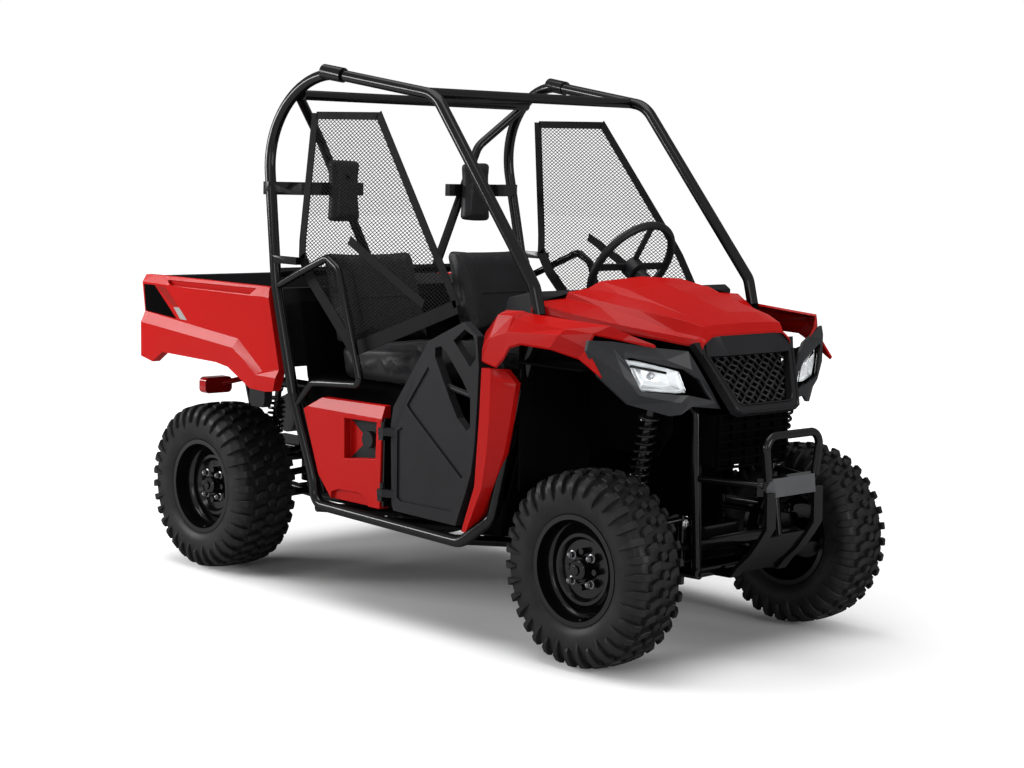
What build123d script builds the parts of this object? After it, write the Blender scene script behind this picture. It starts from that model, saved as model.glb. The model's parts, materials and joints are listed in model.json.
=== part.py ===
from build123d import *
import math
import os

# Side-by-side utility vehicle with two seats, a roll cage and a tilting cargo bed.
# Millimetres, +Z up, front towards -Y, +X to the vehicle's left. The origin is on the
# ground, under the middle of the vehicle. "side" is +1 for left and -1 for right.

os.makedirs("parts", exist_ok=True)

# ---------------------------------------------------------------- driving dimensions
WHEELBASE = 1854
FRONT_AXLE_Y = -938
REAR_AXLE_Y = FRONT_AXLE_Y + WHEELBASE
TYRE_RADIUS = 302
AXLE_Z = TYRE_RADIUS
FRONT_TYRE_WIDTH = 200
REAR_TYRE_WIDTH = 245
FRONT_WHEEL_X = 493
REAR_WHEEL_X = 507.5
BEAD_RADIUS = 158
RIM_FLANGE_RADIUS = 168
RIM_SHEET = 5
HUB_BORE_RADIUS = 14.05
SPINDLE_RADIUS = 14
KINGPIN_X = 430

FRONT_Y = -1307
SIDE_X = 600
CAGE_TUBE = 19
FRAME_TUBE = 16
GUARD_TUBE = 13
FLOOR_Z = 345
RAIL_X = 205
RAIL_Z = 262
B_PILLAR_FOOT = (597, 396, 690)
A_PILLAR_FOOT = (503, -692, 1040)

SEAT_X = 285
DECK_Z = 745
BED_FLOOR_Z = 790
BED_TOP_Z = 1040
BED_FRONT_Y = 520
BED_HALF_WIDTH = 575
TAILGATE_Y = 1262
TILT_PIVOT_Y = 1060
TILT_PIVOT_Z = 712
BEARER_X = 300
DOOR_HINGE_X = 612
DOOR_HINGE_Y = -98
STEER_CENTRE = (285, -330, 1150)
COLUMN_FOOT = (285, -640, 950)


# ---------------------------------------------------------------- shared helpers
def sided(points, side):
    """The points on one side of the vehicle."""
    return [(side * x, y, z) for x, y, z in points]


def tube(points, radius, bends=None):
    """Add a round bar along the points, with its corners bent to the radii in bends."""
    with BuildLine(mode=Mode.PRIVATE) as route:
        if bends:
            FilletPolyline(*points, radius=bends)
        else:
            Line(*points)
    with BuildSketch(Plane(origin=points[0], z_dir=route.line % 0), mode=Mode.PRIVATE) as ring:
        Circle(radius)
    sweep(sections=ring.sketch, path=route.line)


def plate(outline, plane, thickness, mode=Mode.ADD):
    """Add a flat plate of the outline, drawn on the plane and grown along its normal."""
    with BuildSketch(plane, mode=Mode.PRIVATE) as sheet:
        with BuildLine():
            Polyline(*outline, close=True)
        make_face()
    extrude(sheet.sketch, amount=thickness, mode=mode)


def side_plate(outline, side, outer_x, thickness, mode=Mode.ADD):
    """Add a plate of the (y, z) outline whose outer face stands at outer_x on one side."""
    low_x = outer_x - thickness if side > 0 else -outer_x
    plate(outline, Plane.YZ.offset(low_x), thickness, mode)


def skin(planes_and_outlines):
    """Add a faceted body through closed outlines, each drawn on its own plane."""
    faces = []
    for plane, outline in planes_and_outlines:
        with BuildSketch(plane, mode=Mode.PRIVATE) as section:
            with BuildLine():
                Polyline(*outline, close=True)
            make_face()
        faces.append(section.sketch)
    loft(sections=faces, ruled=True)


def faceted_body(front, back, closed=False):
    """Add a body of flat facets between rows of front points and their partners behind.
    A closed body's rows join end to end as rings."""
    count = len(front[0])
    columns = range(count if closed else count - 1)
    faces = []

    def facet(*corners):
        faces.append(Face(Wire.make_polygon([Vector(*corner) for corner in corners], close=True)))

    for side_rows in (front, back):
        for above, below in zip(side_rows, side_rows[1:]):
            for i in columns:
                j = (i + 1) % count
                facet(above[i], below[i], above[j])
                facet(above[j], below[i], below[j])
    if not closed:
        for i in (0, -1):
            for above, below, above_back, below_back in zip(front, front[1:], back, back[1:]):
                facet(above[i], below[i], below_back[i], above_back[i])
    for row, row_back in ((front[0], back[0]), (front[-1], back[-1])):
        for i in columns:
            j = (i + 1) % count
            facet(row[i], row[j], row_back[j], row_back[i])
    add(Solid(Shell(faces)))


def faceted_panel(rows, inward, closed=False):
    """Add a faceted sheet whose back is its front moved by the inward vector."""
    back = [[tuple(Vector(*point) + Vector(*inward)) for point in row] for row in rows]
    faceted_body(rows, back, closed)


def cross_plane(y):
    """A plane across the vehicle at y, on which the sketch reads (x, z)."""
    return Plane(origin=(0, y, 0), x_dir=(1, 0, 0), z_dir=(0, -1, 0))


def write(piece, label):
    """Label a finished piece and write it as its own STEP file."""
    piece.part.label = label
    export_step(piece.part, f"parts/{label}.step")


def mirrored_pair(right, name):
    """Write the right-hand piece and its mirror image as two named pieces."""
    write(right, f"{name}_right")
    with BuildPart() as left:
        mirror(right.part, about=Plane.YZ)
    write(left, f"{name}_left")


# ---------------------------------------------------------------- wheels
LUG_COUNT = 34
LUG_HEIGHT = 13
LUG_SHARE = 0.64
TREAD_SHARE = 0.84
CARCASS_SIDES = 16
CROWN_RADIUS = 272
BEAD_GAP = 0.4
BEAD_SHARE = 0.80
LUG_REACH = 0.835


def turned(radius, angle):
    """A point on an axle-centred circle, its angle in degrees from straight down."""
    return (radius * math.sin(math.radians(angle)), -radius * math.cos(math.radians(angle)))


def polygon_ring(radius, sides):
    """The corners of a regular polygon around the axle."""
    return [turned(radius, 360 * i / sides) for i in range(sides)]


def toothed_ring(shift):
    """The outline of one row of lugs, turned by a share of their pitch."""
    pitch = 360 / LUG_COUNT
    reach = pitch * LUG_SHARE / 2
    tip = TYRE_RADIUS / math.cos(math.radians(pitch / 2 - reach))
    root = tip - LUG_HEIGHT
    ring = []
    for number in range(LUG_COUNT):
        middle = (number + shift) * pitch
        ring += [turned(root, middle - reach), turned(tip, middle - reach),
                 turned(tip, middle + reach), turned(root, middle + reach)]
    return ring


def tyre(name, centre_x, side, axle_y, width):
    """A hollow tyre with two staggered rows of lugs, open between its beads."""
    half = width / 2
    corner = 1 / math.cos(math.pi / CARCASS_SIDES)
    bore = (BEAD_RADIUS + BEAD_GAP) * corner
    seat_radius = (RIM_FLANGE_RADIUS + BEAD_GAP) * corner
    bead = BEAD_SHARE - BEAD_GAP / half
    outside = [(bead, bore), (bead, seat_radius), (1.00, 222), (TREAD_SHARE, 284)]
    inside = [(0.66, bore), (0.70, 180), (0.86, 215), (0.72, 262)]

    def rings(wall):
        across = [(-u, r) for u, r in wall] + [(u, r) for u, r in reversed(wall)]
        return [[(side * centre_x + u * half, axle_y + y, AXLE_Z + z)
                 for y, z in polygon_ring(r, CARCASS_SIDES)] for u, r in across]

    middle = Plane(origin=(side * centre_x, axle_y, AXLE_Z), x_dir=(0, 1, 0), z_dir=(1, 0, 0))
    with BuildPart() as ring:
        faceted_body(rings(outside), rings(inside), closed=True)
        for hand, shift in ((-1, 0), (1, 0.5)):
            with BuildPart(mode=Mode.PRIVATE) as lugs:
                plate(toothed_ring(shift), middle, hand * LUG_REACH * half)
                plate(polygon_ring(CROWN_RADIUS, CARCASS_SIDES), middle,
                      hand * LUG_REACH * half, Mode.SUBTRACT)
            add(lugs.part)
    write(ring, name)


def rim(name, centre_x, side, axle_y, width, disc_depth):
    """A pressed steel wheel: flanged barrel, ringed disc, hub sleeve and four lug nuts."""
    lip = 0.80 * width / 2
    flange = lip + RIM_SHEET
    disc = flange - disc_depth
    barrel = [
        (flange, RIM_FLANGE_RADIUS), (lip, RIM_FLANGE_RADIUS), (lip, BEAD_RADIUS),
        (0.45 * lip, BEAD_RADIUS - 2), (0.30 * lip, BEAD_RADIUS - 16),
        (-0.20 * lip, BEAD_RADIUS - 16), (-0.35 * lip, BEAD_RADIUS - 2),
        (-lip, BEAD_RADIUS), (-lip, RIM_FLANGE_RADIUS), (-flange, RIM_FLANGE_RADIUS),
        (-flange, BEAD_RADIUS - RIM_SHEET), (-0.38 * lip, BEAD_RADIUS - 2 - RIM_SHEET),
        (-0.22 * lip, BEAD_RADIUS - 16 - RIM_SHEET), (0.32 * lip, BEAD_RADIUS - 16 - RIM_SHEET),
        (0.48 * lip, BEAD_RADIUS - 2 - RIM_SHEET), (flange, BEAD_RADIUS - RIM_SHEET),
    ]
    dish = [
        (0.25 * lip, BEAD_RADIUS - 18), (disc - 14, 122), (disc + 4, 108), (disc + 4, 98),
        (disc - 10, 88), (disc - 10, 40), (disc + 12, 36), (disc + 12, HUB_BORE_RADIUS),
        (disc - 50, HUB_BORE_RADIUS), (disc - 50, 36), (disc - 18, 44), (disc - 18, 90),
        (disc - 6, 102), (disc - 22, 118), (0.25 * lip - 8, BEAD_RADIUS - 18),
    ]
    placed = Plane(origin=(side * centre_x, axle_y, AXLE_Z), x_dir=(side, 0, 0),
                   z_dir=(0, -side, 0))
    with BuildPart() as wheel:
        for profile in (barrel, dish):
            with BuildSketch(placed):
                with BuildLine():
                    Polyline(*profile, close=True)
                make_face()
        revolve(axis=Axis((0, axle_y, AXLE_Z), (1, 0, 0)))
        nut_face = Plane(origin=(side * (centre_x + disc - 12), axle_y, AXLE_Z),
                         x_dir=(0, 1, 0), z_dir=(side, 0, 0))
        with BuildSketch(nut_face):
            with PolarLocations(55, 4):
                RegularPolygon(10, 6)
        extrude(amount=22)
    write(wheel, name)


for side, hand in ((-1, "right"), (1, "left")):
    tyre(f"tyre_front_{hand}", FRONT_WHEEL_X, side, FRONT_AXLE_Y, FRONT_TYRE_WIDTH)
    tyre(f"tyre_rear_{hand}", REAR_WHEEL_X, side, REAR_AXLE_Y, REAR_TYRE_WIDTH)
    rim(f"rim_front_{hand}", FRONT_WHEEL_X, side, FRONT_AXLE_Y, FRONT_TYRE_WIDTH, 42)
    rim(f"rim_rear_{hand}", REAR_WHEEL_X, side, REAR_AXLE_Y, REAR_TYRE_WIDTH, 62)

# ---------------------------------------------------------------- frame
ROCKER = [B_PILLAR_FOOT, (599, 275, 420), (600, 262, 333), (600, -470, 316),
          (555, -560, 400), (535, -615, 700), A_PILLAR_FOOT]
ROCKER_BENDS = [150, 55, 60, 60, 200]
MAIN_RAIL = [(200, -1105, 275), (RAIL_X, -600, RAIL_Z), (RAIL_X, 600, RAIL_Z),
             (175, 760, 250), (175, 1060, 262), (175, 1190, 330)]
MAIN_RAIL_BENDS = [300, 150, 150, 80]
BEARER = [(B_PILLAR_FOOT[0] - 10, 440, 668), (BEARER_X, 440, 668), (BEARER_X, TILT_PIVOT_Y, 668)]
FRONT_UPRIGHT = [(200, -1092, 275), (168, -1040, 775), (330, -700, 930), (508, -684, 1000)]
DAMPER_TOP = (322, FRONT_AXLE_Y - 62, 800)
PIVOT_POST_OFFSET = 95
OUTRIGGER_YS = (-450, -60, 250)
CROSS_TUBES = ((-1095, 275, 200), (FRONT_AXLE_Y, 270, 203), (-700, 264, 205), (120, 262, 205),
               (480, 262, 205), (REAR_AXLE_Y, 256, 175), (1180, 325, 175))

with BuildPart() as frame_half:
    tube(sided(ROCKER, -1), CAGE_TUBE, ROCKER_BENDS)
    tube(sided(MAIN_RAIL, -1), CAGE_TUBE, MAIN_RAIL_BENDS)
    tube(sided(BEARER, -1), CAGE_TUBE, [80])
    tube(sided(FRONT_UPRIGHT, -1), FRAME_TUBE, [60, 80])
    for y in OUTRIGGER_YS:
        tube([(-RAIL_X, y, RAIL_Z), (-SIDE_X, y, 322)], FRAME_TUBE)
    tube([(-RAIL_X, 480, RAIL_Z), (-BEARER_X, 470, 668)], FRAME_TUBE)
    tube([(-175, 1100, 283), (-BEARER_X, TILT_PIVOT_Y, 668)], FRAME_TUBE)
    tube([(-178, 740, 252), (-BEARER_X, 760, 668)], FRAME_TUBE)
    tube([(-198, -1028, 790), (-DAMPER_TOP[0], DAMPER_TOP[1], DAMPER_TOP[2] + 12)], 12)
    for axle_y, foot_z, post_x in ((FRONT_AXLE_Y, 270, RAIL_X), (REAR_AXLE_Y, 256, 185)):
        for y in (axle_y - PIVOT_POST_OFFSET, axle_y + PIVOT_POST_OFFSET):
            tube([(-post_x, y, foot_z), (-post_x, y, 445)], 12)
        tube([(-post_x, axle_y - PIVOT_POST_OFFSET, 410), (-post_x, axle_y + PIVOT_POST_OFFSET, 410)],
             10)
    side_plate([(TILT_PIVOT_Y - 45, 660), (TILT_PIVOT_Y + 25, 660),
                (TILT_PIVOT_Y + 16, TILT_PIVOT_Z + 16), (TILT_PIVOT_Y - 16, TILT_PIVOT_Z + 16)],
               -1, BEARER_X + 8, 16)
with BuildPart() as frame:
    add(frame_half.part)
    mirror(frame_half.part, about=Plane.YZ)
    for y, z, half_width in CROSS_TUBES:
        tube([(-half_width, y, z), (half_width, y, z)], FRAME_TUBE)
    tube([(-BEARER_X, 470, 668), (BEARER_X, 470, 668)], FRAME_TUBE)
    tube([(-168, -1041, 755), (168, -1041, 755)], FRAME_TUBE)
    tube([(-370, TILT_PIVOT_Y, TILT_PIVOT_Z), (370, TILT_PIVOT_Y, TILT_PIVOT_Z)], FRAME_TUBE)
    tube([(-508, -684, 1000), (508, -684, 1000)], FRAME_TUBE)
write(frame, "frame")

# ---------------------------------------------------------------- roll cage
CAGE_SIDE = [B_PILLAR_FOOT, (589, 511, 1060), (545, 655, 1823), (490, -181, 1701),
             (505, -668, 1124), A_PILLAR_FOOT]
CAGE_BENDS = [400, 285, 120, 60]
REAR_BAR = (528, 458, 1700)
FRONT_BAR = (493, -108, 1710)
BRACE = [(522, 480, 1690), (372, 552, 1545), (150, 526, 1100)]
HEADREST_BAR = [(590, 562), (480, 519), (205, 519), (205, 544), (474, 544), (590, 590)]
HEADREST_BAR_Z = (1360, 1404)
SHOULDER_BOX = [(389, 1129), (525, 1129), (525, 1154), (389, 1154)]
LOWER_BAR = (588, 516, 1096)

with BuildPart() as cage_right:
    tube(sided(CAGE_SIDE, -1), CAGE_TUBE, CAGE_BENDS)
    tube([(-531, 340, 1778), (-521, 250, 1765)], CAGE_TUBE + 6)
    side_plate(SHOULDER_BOX, -1, SIDE_X, 22)
    add(frame.part, mode=Mode.SUBTRACT)
mirrored_pair(cage_right, "cage")

with BuildPart() as brace_half:
    tube(sided(BRACE, -1), FRAME_TUBE, [90])
    plate([(-x, y) for x, y in HEADREST_BAR], Plane.XY.offset(HEADREST_BAR_Z[0]),
          HEADREST_BAR_Z[1] - HEADREST_BAR_Z[0])
with BuildPart() as cage_bars:
    add(brace_half.part)
    mirror(brace_half.part, about=Plane.YZ)
    for end, radius in ((REAR_BAR, CAGE_TUBE - 2), (FRONT_BAR, CAGE_TUBE - 2), (LOWER_BAR, FRAME_TUBE)):
        tube([(-end[0], end[1], end[2]), end], radius)
    add(cage_right.part, mode=Mode.SUBTRACT)
    add(mirror(cage_right.part, about=Plane.YZ, mode=Mode.PRIVATE), mode=Mode.SUBTRACT)
write(cage_bars, "cage_bars")

# ---------------------------------------------------------------- hip guards
HIP_GUARD = [(590, 488, 1056), (595, 356, 1111), (593, 228, 1163), (595, 165, 1130),
             (600, 34, 757), (600, 240, 744), (600, 290, 738), (598, 372, 660)]
HIP_BENDS = [60, 30, 50, 22, 60, 40]

with BuildPart() as hip_guards:
    for side in (-1, 1):
        tube(sided(HIP_GUARD, side), GUARD_TUBE, HIP_BENDS)
    add(frame.part, mode=Mode.SUBTRACT)
    add(cage_right.part, mode=Mode.SUBTRACT)
    add(mirror(cage_right.part, about=Plane.YZ, mode=Mode.PRIVATE), mode=Mode.SUBTRACT)
write(hip_guards, "hip_guards")

# ---------------------------------------------------------------- floor, seat deck, firewall
PAN_HALF_WIDTH = 535
FLOOR_LINE = [(-640, 1000), (-650, 620), (-570, FLOOR_Z), (-120, FLOOR_Z), (-105, DECK_Z),
              (395, DECK_Z), (440, 1000)]
FLOOR_SHEET = 8
DECK_SKIRT = [(-105, 640), (395, 640), (395, DECK_Z), (-105, DECK_Z)]

with BuildPart() as floor_pan:
    with BuildSketch(Plane.YZ.offset(-PAN_HALF_WIDTH)):
        with BuildLine():
            Polyline(*FLOOR_LINE)
        trace(line_width=FLOOR_SHEET)
    extrude(amount=2 * PAN_HALF_WIDTH)
    for side in (-1, 1):
        side_plate(DECK_SKIRT, side, PAN_HALF_WIDTH, FLOOR_SHEET)
    add(frame.part, mode=Mode.SUBTRACT)
write(floor_pan, "floor_pan")

# ---------------------------------------------------------------- steering
column = Vector(STEER_CENTRE) - Vector(COLUMN_FOOT)
wheel_plane = Plane(origin=STEER_CENTRE, x_dir=(1, 0, 0), z_dir=column)
WHEEL_RIM_RADIUS = 172
WHEEL_GRIP = 14

SHAFT_RADIUS = 9
SPOKE_TURNS = (0, 180, 270)

with BuildPart() as steering_wheel:
    with BuildSketch(Plane(origin=STEER_CENTRE, x_dir=(1, 0, 0), z_dir=wheel_plane.y_dir)):
        with Locations((WHEEL_RIM_RADIUS, 0)):
            Circle(WHEEL_GRIP)
    revolve(axis=Axis(STEER_CENTRE, wheel_plane.z_dir))
    with BuildSketch(wheel_plane.offset(-38)):
        Circle(38)
    extrude(amount=44)
    with BuildSketch(wheel_plane.offset(-3)):
        for turn in SPOKE_TURNS:
            with Locations(Rotation(0, 0, turn)):
                with Locations((WHEEL_RIM_RADIUS / 2, 0)):
                    Rectangle(WHEEL_RIM_RADIUS, 26)
    extrude(amount=6)
    with BuildSketch(wheel_plane.offset(-90)):
        Circle(SHAFT_RADIUS)
    extrude(amount=60)
write(steering_wheel, "steering_wheel")

with BuildPart() as steering_column:
    with BuildSketch(wheel_plane.offset(-44)):
        Circle(24)
        Circle(SHAFT_RADIUS + 0.05, mode=Mode.SUBTRACT)
    extrude(amount=-column.length + 80)
write(steering_column, "steering_column")

# ---------------------------------------------------------------- dashboard
with BuildPart() as dashboard:
    plate([(-634, 900), (-470, 905), (-455, 960), (-500, 1080), (-610, 1105), (-634, 1090)],
          Plane.YZ.offset(-455), 910)
    add(steering_column.part, mode=Mode.SUBTRACT)
write(dashboard, "dashboard")

# ---------------------------------------------------------------- hood
HOOD_SHEET = 8
# Each row runs from the middle outwards: crown, bulge edge, bulge foot, crease, step foot,
# side ridge and lower edge, as (x, z) at one y.
HOOD_ROWS = [
    (-640, [(0, 1143), (190, 1132), (243, 1112), (332, 1102), (344, 1083), (487, 1074), (492, 1052)]),
    (-750, [(0, 1125), (184, 1115), (218, 1099), (293, 1079), (309, 1066), (421, 1045), (426, 1028)]),
    (-870, [(0, 1095), (179, 1083), (188, 1079), (254, 1060), (272, 1040), (338, 1018), (343, 1003)]),
    (-1000, [(0, 1057), (150, 1051), (170, 1048), (210, 1040), (229, 1003), (252, 996), (262, 981)]),
    (-1070, [(0, 1028), (120, 1026), (152, 1025), (181, 1021), (199, 992), (212, 985), (217, 968)]),
    (-1092, [(0, 1001), (120, 1000), (150, 1000), (168, 998), (190, 984), (203, 975), (208, 962)]),
]

with BuildPart() as hood:
    faceted_panel([[(-x, y, z) for x, z in reversed(half[1:])] + [(x, y, z) for x, z in half]
                   for y, half in HOOD_ROWS], (0, 0, -HOOD_SHEET))
write(hood, "hood")

# ---------------------------------------------------------------- front fenders
FENDER_SHEET = 6
# Each row runs outwards and down: edge beside the hood, top edge, crease and arch edge.
FENDER_ROWS = [
    [(586, -548, 985), (592, -546, 975), (597, -540, 925), (597, -539, 892)],
    [(545, -590, 1050), (572, -581, 1036), (592, -568, 965), (597, -600, 880)],
    [(528, -646, 1050), (572, -647, 1037), (590, -639, 986), (595, -629, 908)],
    [(526, -664, 1046), (572, -658, 1028), (590, -662, 988), (593, -653, 945)],
    [(522, -700, 1043), (572, -700, 1025), (590, -700, 990), (592, -700, 959)],
    [(500, -872, 1034), (572, -872, 1015), (590, -860, 998), (592, -827, 956)],
    [(488, -975, 1029), (532, -945, 1006), (548, -938, 963), (556, -911, 932)],
]
FENDER_TIP = [(550, -1000, 888), (549, -994, 886)]
# The strip between the hood and the bezel, from the fender's front edge to its point.
FENDER_STRIP = [[(488, -975, 1029), (532, -945, 1006)], [(440, -1008, 1003), (462, -999, 990)],
                [(372, -1046, 975), (376, -1043, 969)]]

with BuildPart() as fender_right:
    for rows in (FENDER_ROWS, list(zip(FENDER_ROWS[-1][2:], FENDER_TIP)), FENDER_STRIP):
        faceted_panel([sided(row, -1) for row in rows], (FENDER_SHEET, 0, -FENDER_SHEET))
    add(frame.part, mode=Mode.SUBTRACT)
    add(cage_right.part, mode=Mode.SUBTRACT)
    add(hood.part, mode=Mode.SUBTRACT)
with BuildPart() as front_fenders:
    add(fender_right.part)
    mirror(fender_right.part, about=Plane.YZ)
write(front_fenders, "front_fenders")

# ---------------------------------------------------------------- front side panels
PANEL_SECTIONS = [
    (350, -468, -488, -496),
    (500, -523, -556, -574),
    (612, -531, -573, -618),
    (714, -537, -581, -641),
    (832, -541, -583, -663),
    (870, -543, -584, -614),
]
PANEL_DEPTH = 20

with BuildPart() as side_panels_half:
    skins = []
    for z, rear_y, crease_y, front_y in PANEL_SECTIONS:
        outline = [(-SIDE_X, rear_y), (-SIDE_X, crease_y), (-SIDE_X + 32, front_y),
                   (-SIDE_X + 32 + PANEL_DEPTH, front_y), (-SIDE_X + PANEL_DEPTH, crease_y),
                   (-SIDE_X + PANEL_DEPTH, rear_y)]
        skins.append((Plane.XY.offset(z), outline))
    skin(skins)
    add(frame.part, mode=Mode.SUBTRACT)
with BuildPart() as front_side_panels:
    add(side_panels_half.part)
    mirror(side_panels_half.part, about=Plane.YZ)
write(front_side_panels, "front_side_panels")

# ---------------------------------------------------------------- nose, grille, lamps
NOSE_DEPTH = 24
GRILLE_CELL = (37, 30)
GRILLE_HOLE = (25, 20)
GRILLE_SHEET = 6
GRILLE_MIDDLE = -125
GRILLE_HALF = 140
GRILLE_TAPER = 6.3
NOSE_OUTLINE = [(-236, 0), (236, 0), (218, -38), (152, -226), (128, -238), (-128, -238),
                (-152, -226), (-218, -38)]
NOSE_OPENING = [(-190, -44), (190, -44), (186, -52), (126, -196), (112, -206), (-112, -206),
                (-126, -196), (-186, -52)]

nose_plane = Plane(origin=(0, -1080, 977), x_dir=(1, 0, 0), z_dir=(0, -206, 108))
with BuildPart() as nose_cover:
    plate(NOSE_OUTLINE, nose_plane, -NOSE_DEPTH)
    plate(NOSE_OPENING, nose_plane, -NOSE_DEPTH, Mode.SUBTRACT)
    skin([(Plane.XY.offset(936), [(-197, -1078), (197, -1078), (200, -1104), (108, -1112),
                                  (-108, -1112), (-200, -1104)]),
          (Plane.XY.offset(994), [(-178, -1052), (178, -1052), (184, -1078), (134, -1093),
                                   (-134, -1093), (-184, -1078)])])
    add(hood.part, mode=Mode.SUBTRACT)
write(nose_cover, "nose_cover")

with BuildPart() as grille:
    with BuildSketch(nose_plane.offset(-NOSE_DEPTH + 4)):
        with BuildLine():
            Polyline(*NOSE_OPENING, close=True)
        make_face()
        for row in range(-4, 5):
            for column in range(-8, 9):
                x = column * GRILLE_CELL[0] / 2
                if (row + column) % 2 and abs(x) < GRILLE_HALF + row * GRILLE_TAPER:
                    with Locations((x, GRILLE_MIDDLE + row * GRILLE_CELL[1] / 2)):
                        Polygon((GRILLE_HOLE[0] / 2, 0), (0, GRILLE_HOLE[1] / 2),
                                (-GRILLE_HOLE[0] / 2, 0), (0, -GRILLE_HOLE[1] / 2),
                                mode=Mode.SUBTRACT)
    extrude(amount=-GRILLE_SHEET)
    add(nose_cover.part, mode=Mode.SUBTRACT)
write(grille, "grille")

# The bezel is a ring of facets between its outline, a facet line, the lamp opening's edge
# and the opening's foot, each starting at the top outer corner and running inwards.
BEZEL_OUTLINE = [(552, -950, 987), (486, -986, 984), (374, -1041, 966), (274, -1093, 955),
                 (248, -1100, 920), (196, -1116, 843), (156, -1128, 778), (266, -1109, 790),
                 (300, -1097, 767), (334, -1080, 763), (440, -1011, 797), (528, -972, 880),
                 (561, -950, 958)]
BEZEL_FACET = [(492, -992, 967), (468, -1013, 955), (342, -1069, 930), (266, -1103, 900),
               (236, -1111, 868), (198, -1122, 822), (176, -1127, 795), (272, -1106, 808),
               (305, -1098, 803), (326, -1088, 805), (424, -1040, 826), (470, -1020, 880),
               (485, -1000, 939)]
LAMP_EDGE = [(466, -1014, 934), (448, -1022, 938), (336, -1070, 911), (286, -1092, 900),
             (243, -1108, 877), (212, -1118, 828), (194, -1122, 806), (278, -1104, 824),
             (306, -1094, 825), (322, -1088, 827), (417, -1042, 838), (438, -1030, 880),
             (454, -1020, 915)]
BEZEL_WALL = (0, 10, 0)
REVEAL = 26
REVEAL_DRAFT = 0.94
REVEAL_WALL = (-6, 0, 0)
LAMP_MIDDLE = (345, 868)

with BuildPart() as bezel_right:
    reveal = [(LAMP_MIDDLE[0] + (x - LAMP_MIDDLE[0]) * REVEAL_DRAFT, y + REVEAL,
               LAMP_MIDDLE[1] + (z - LAMP_MIDDLE[1]) * REVEAL_DRAFT) for x, y, z in LAMP_EDGE]
    faceted_panel([sided(ring, -1) for ring in (BEZEL_OUTLINE, BEZEL_FACET, LAMP_EDGE)],
                  BEZEL_WALL, closed=True)
    faceted_panel([sided(ring, -1) for ring in (LAMP_EDGE, reveal)], REVEAL_WALL, closed=True)
    add(hood.part, mode=Mode.SUBTRACT)
    add(fender_right.part, mode=Mode.SUBTRACT)
    add(nose_cover.part, mode=Mode.SUBTRACT)
with BuildPart() as headlamp_bezels:
    add(bezel_right.part)
    mirror(bezel_right.part, about=Plane.YZ)
write(headlamp_bezels, "headlamp_bezels")

# The lens fills the opening's outer part; a flat housing closes the rest behind it.
LENS = [(448, -1006, 931), (415, -1020, 926), (327, -1060, 903), (293, -1076, 893),
        (266, -1086, 830), (305, -1074, 829), (407, -1030, 838), (428, -1020, 880)]
LENS_DEPTH = 30

with BuildPart() as lamp_right:
    faceted_panel([sided(LENS[:4], -1), sided(list(reversed(LENS[4:])), -1)], (0, LENS_DEPTH, 0))
    add(bezel_right.part, mode=Mode.SUBTRACT)
with BuildPart() as headlamps:
    add(lamp_right.part)
    mirror(lamp_right.part, about=Plane.YZ)
write(headlamps, "headlamps")

# ---------------------------------------------------------------- radiator guard
GUARD_WIDTH = 168
GUARD_Y = -1138
with BuildPart() as radiator_guard:
    for x in range(-160, 161, 64):
        plate([(x - 4, 590), (x + 4, 590), (x + 4, 762), (x - 4, 762)],
              cross_plane(GUARD_Y + 20), 14)
    for z in range(596, 761, 27):
        plate([(-GUARD_WIDTH, z - 4), (GUARD_WIDTH, z - 4), (GUARD_WIDTH, z + 4),
               (-GUARD_WIDTH, z + 4)], cross_plane(GUARD_Y + 10), 8)
    plate([(-174, 600), (174, 600), (174, 755), (-174, 755)], cross_plane(-1064), 54)
    add(frame.part, mode=Mode.SUBTRACT)
write(radiator_guard, "radiator_guard")

# ---------------------------------------------------------------- front bumper
BUMPER_LOOP = [(112, -1285, 575), (133, -1285, 709), (-133, -1285, 709), (-112, -1285, 575)]
BUMPER_ARM = [(-1296, 540), (-1299, 434), (-1276, 397), (-1240, 347), (-1193, 303),
              (-1168, 270), (-1100, 268)]
BUMPER_SKID = [(-1274, 400), (-1236, 350), (-1190, 306), (-1164, 276), (-1110, 274)]
BUMPER_SKID_SHEET = 6
BUMPER_ARM_X = 134
BUMPER_ARM_WIDTH = 42
BUMPER_ARM_SHEET = 12
# The plate between its slanted cheeks, as (z, half-width at the back, half-width, front y).
BUMPER_PLATE = [(527, 134, 92, FRONT_Y), (582, 134, 97, FRONT_Y + 11)]
BUMPER_BACK_Y = -1262

with BuildPart() as front_bumper:
    tube(BUMPER_LOOP, GUARD_TUBE, [42, 42])
    skin([(Plane.XY.offset(z), [(-back, BUMPER_BACK_Y), (back, BUMPER_BACK_Y), (front, y),
                                (-front, y)]) for z, back, front, y in BUMPER_PLATE])
    for side in (-1, 1):
        low_x = BUMPER_ARM_X - BUMPER_ARM_WIDTH if side > 0 else -BUMPER_ARM_X
        with BuildSketch(Plane.YZ.offset(low_x), mode=Mode.PRIVATE) as ribbon:
            with BuildLine():
                Polyline(*BUMPER_ARM)
            trace(line_width=BUMPER_ARM_SHEET)
        extrude(ribbon.sketch, amount=BUMPER_ARM_WIDTH)
        tube([(side * 119, -1275, 560), (side * 184, -1078, 560)], 10)
    inner_x = BUMPER_ARM_X - BUMPER_ARM_WIDTH
    with BuildSketch(Plane.YZ.offset(-inner_x), mode=Mode.PRIVATE) as ribbon:
        with BuildLine():
            Polyline(*BUMPER_SKID)
        trace(line_width=BUMPER_SKID_SHEET)
    extrude(ribbon.sketch, amount=2 * inner_x)
    tube([(-119, -1130, 282), (119, -1130, 282)], 12)
    add(frame.part, mode=Mode.SUBTRACT)
write(front_bumper, "front_bumper")

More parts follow.
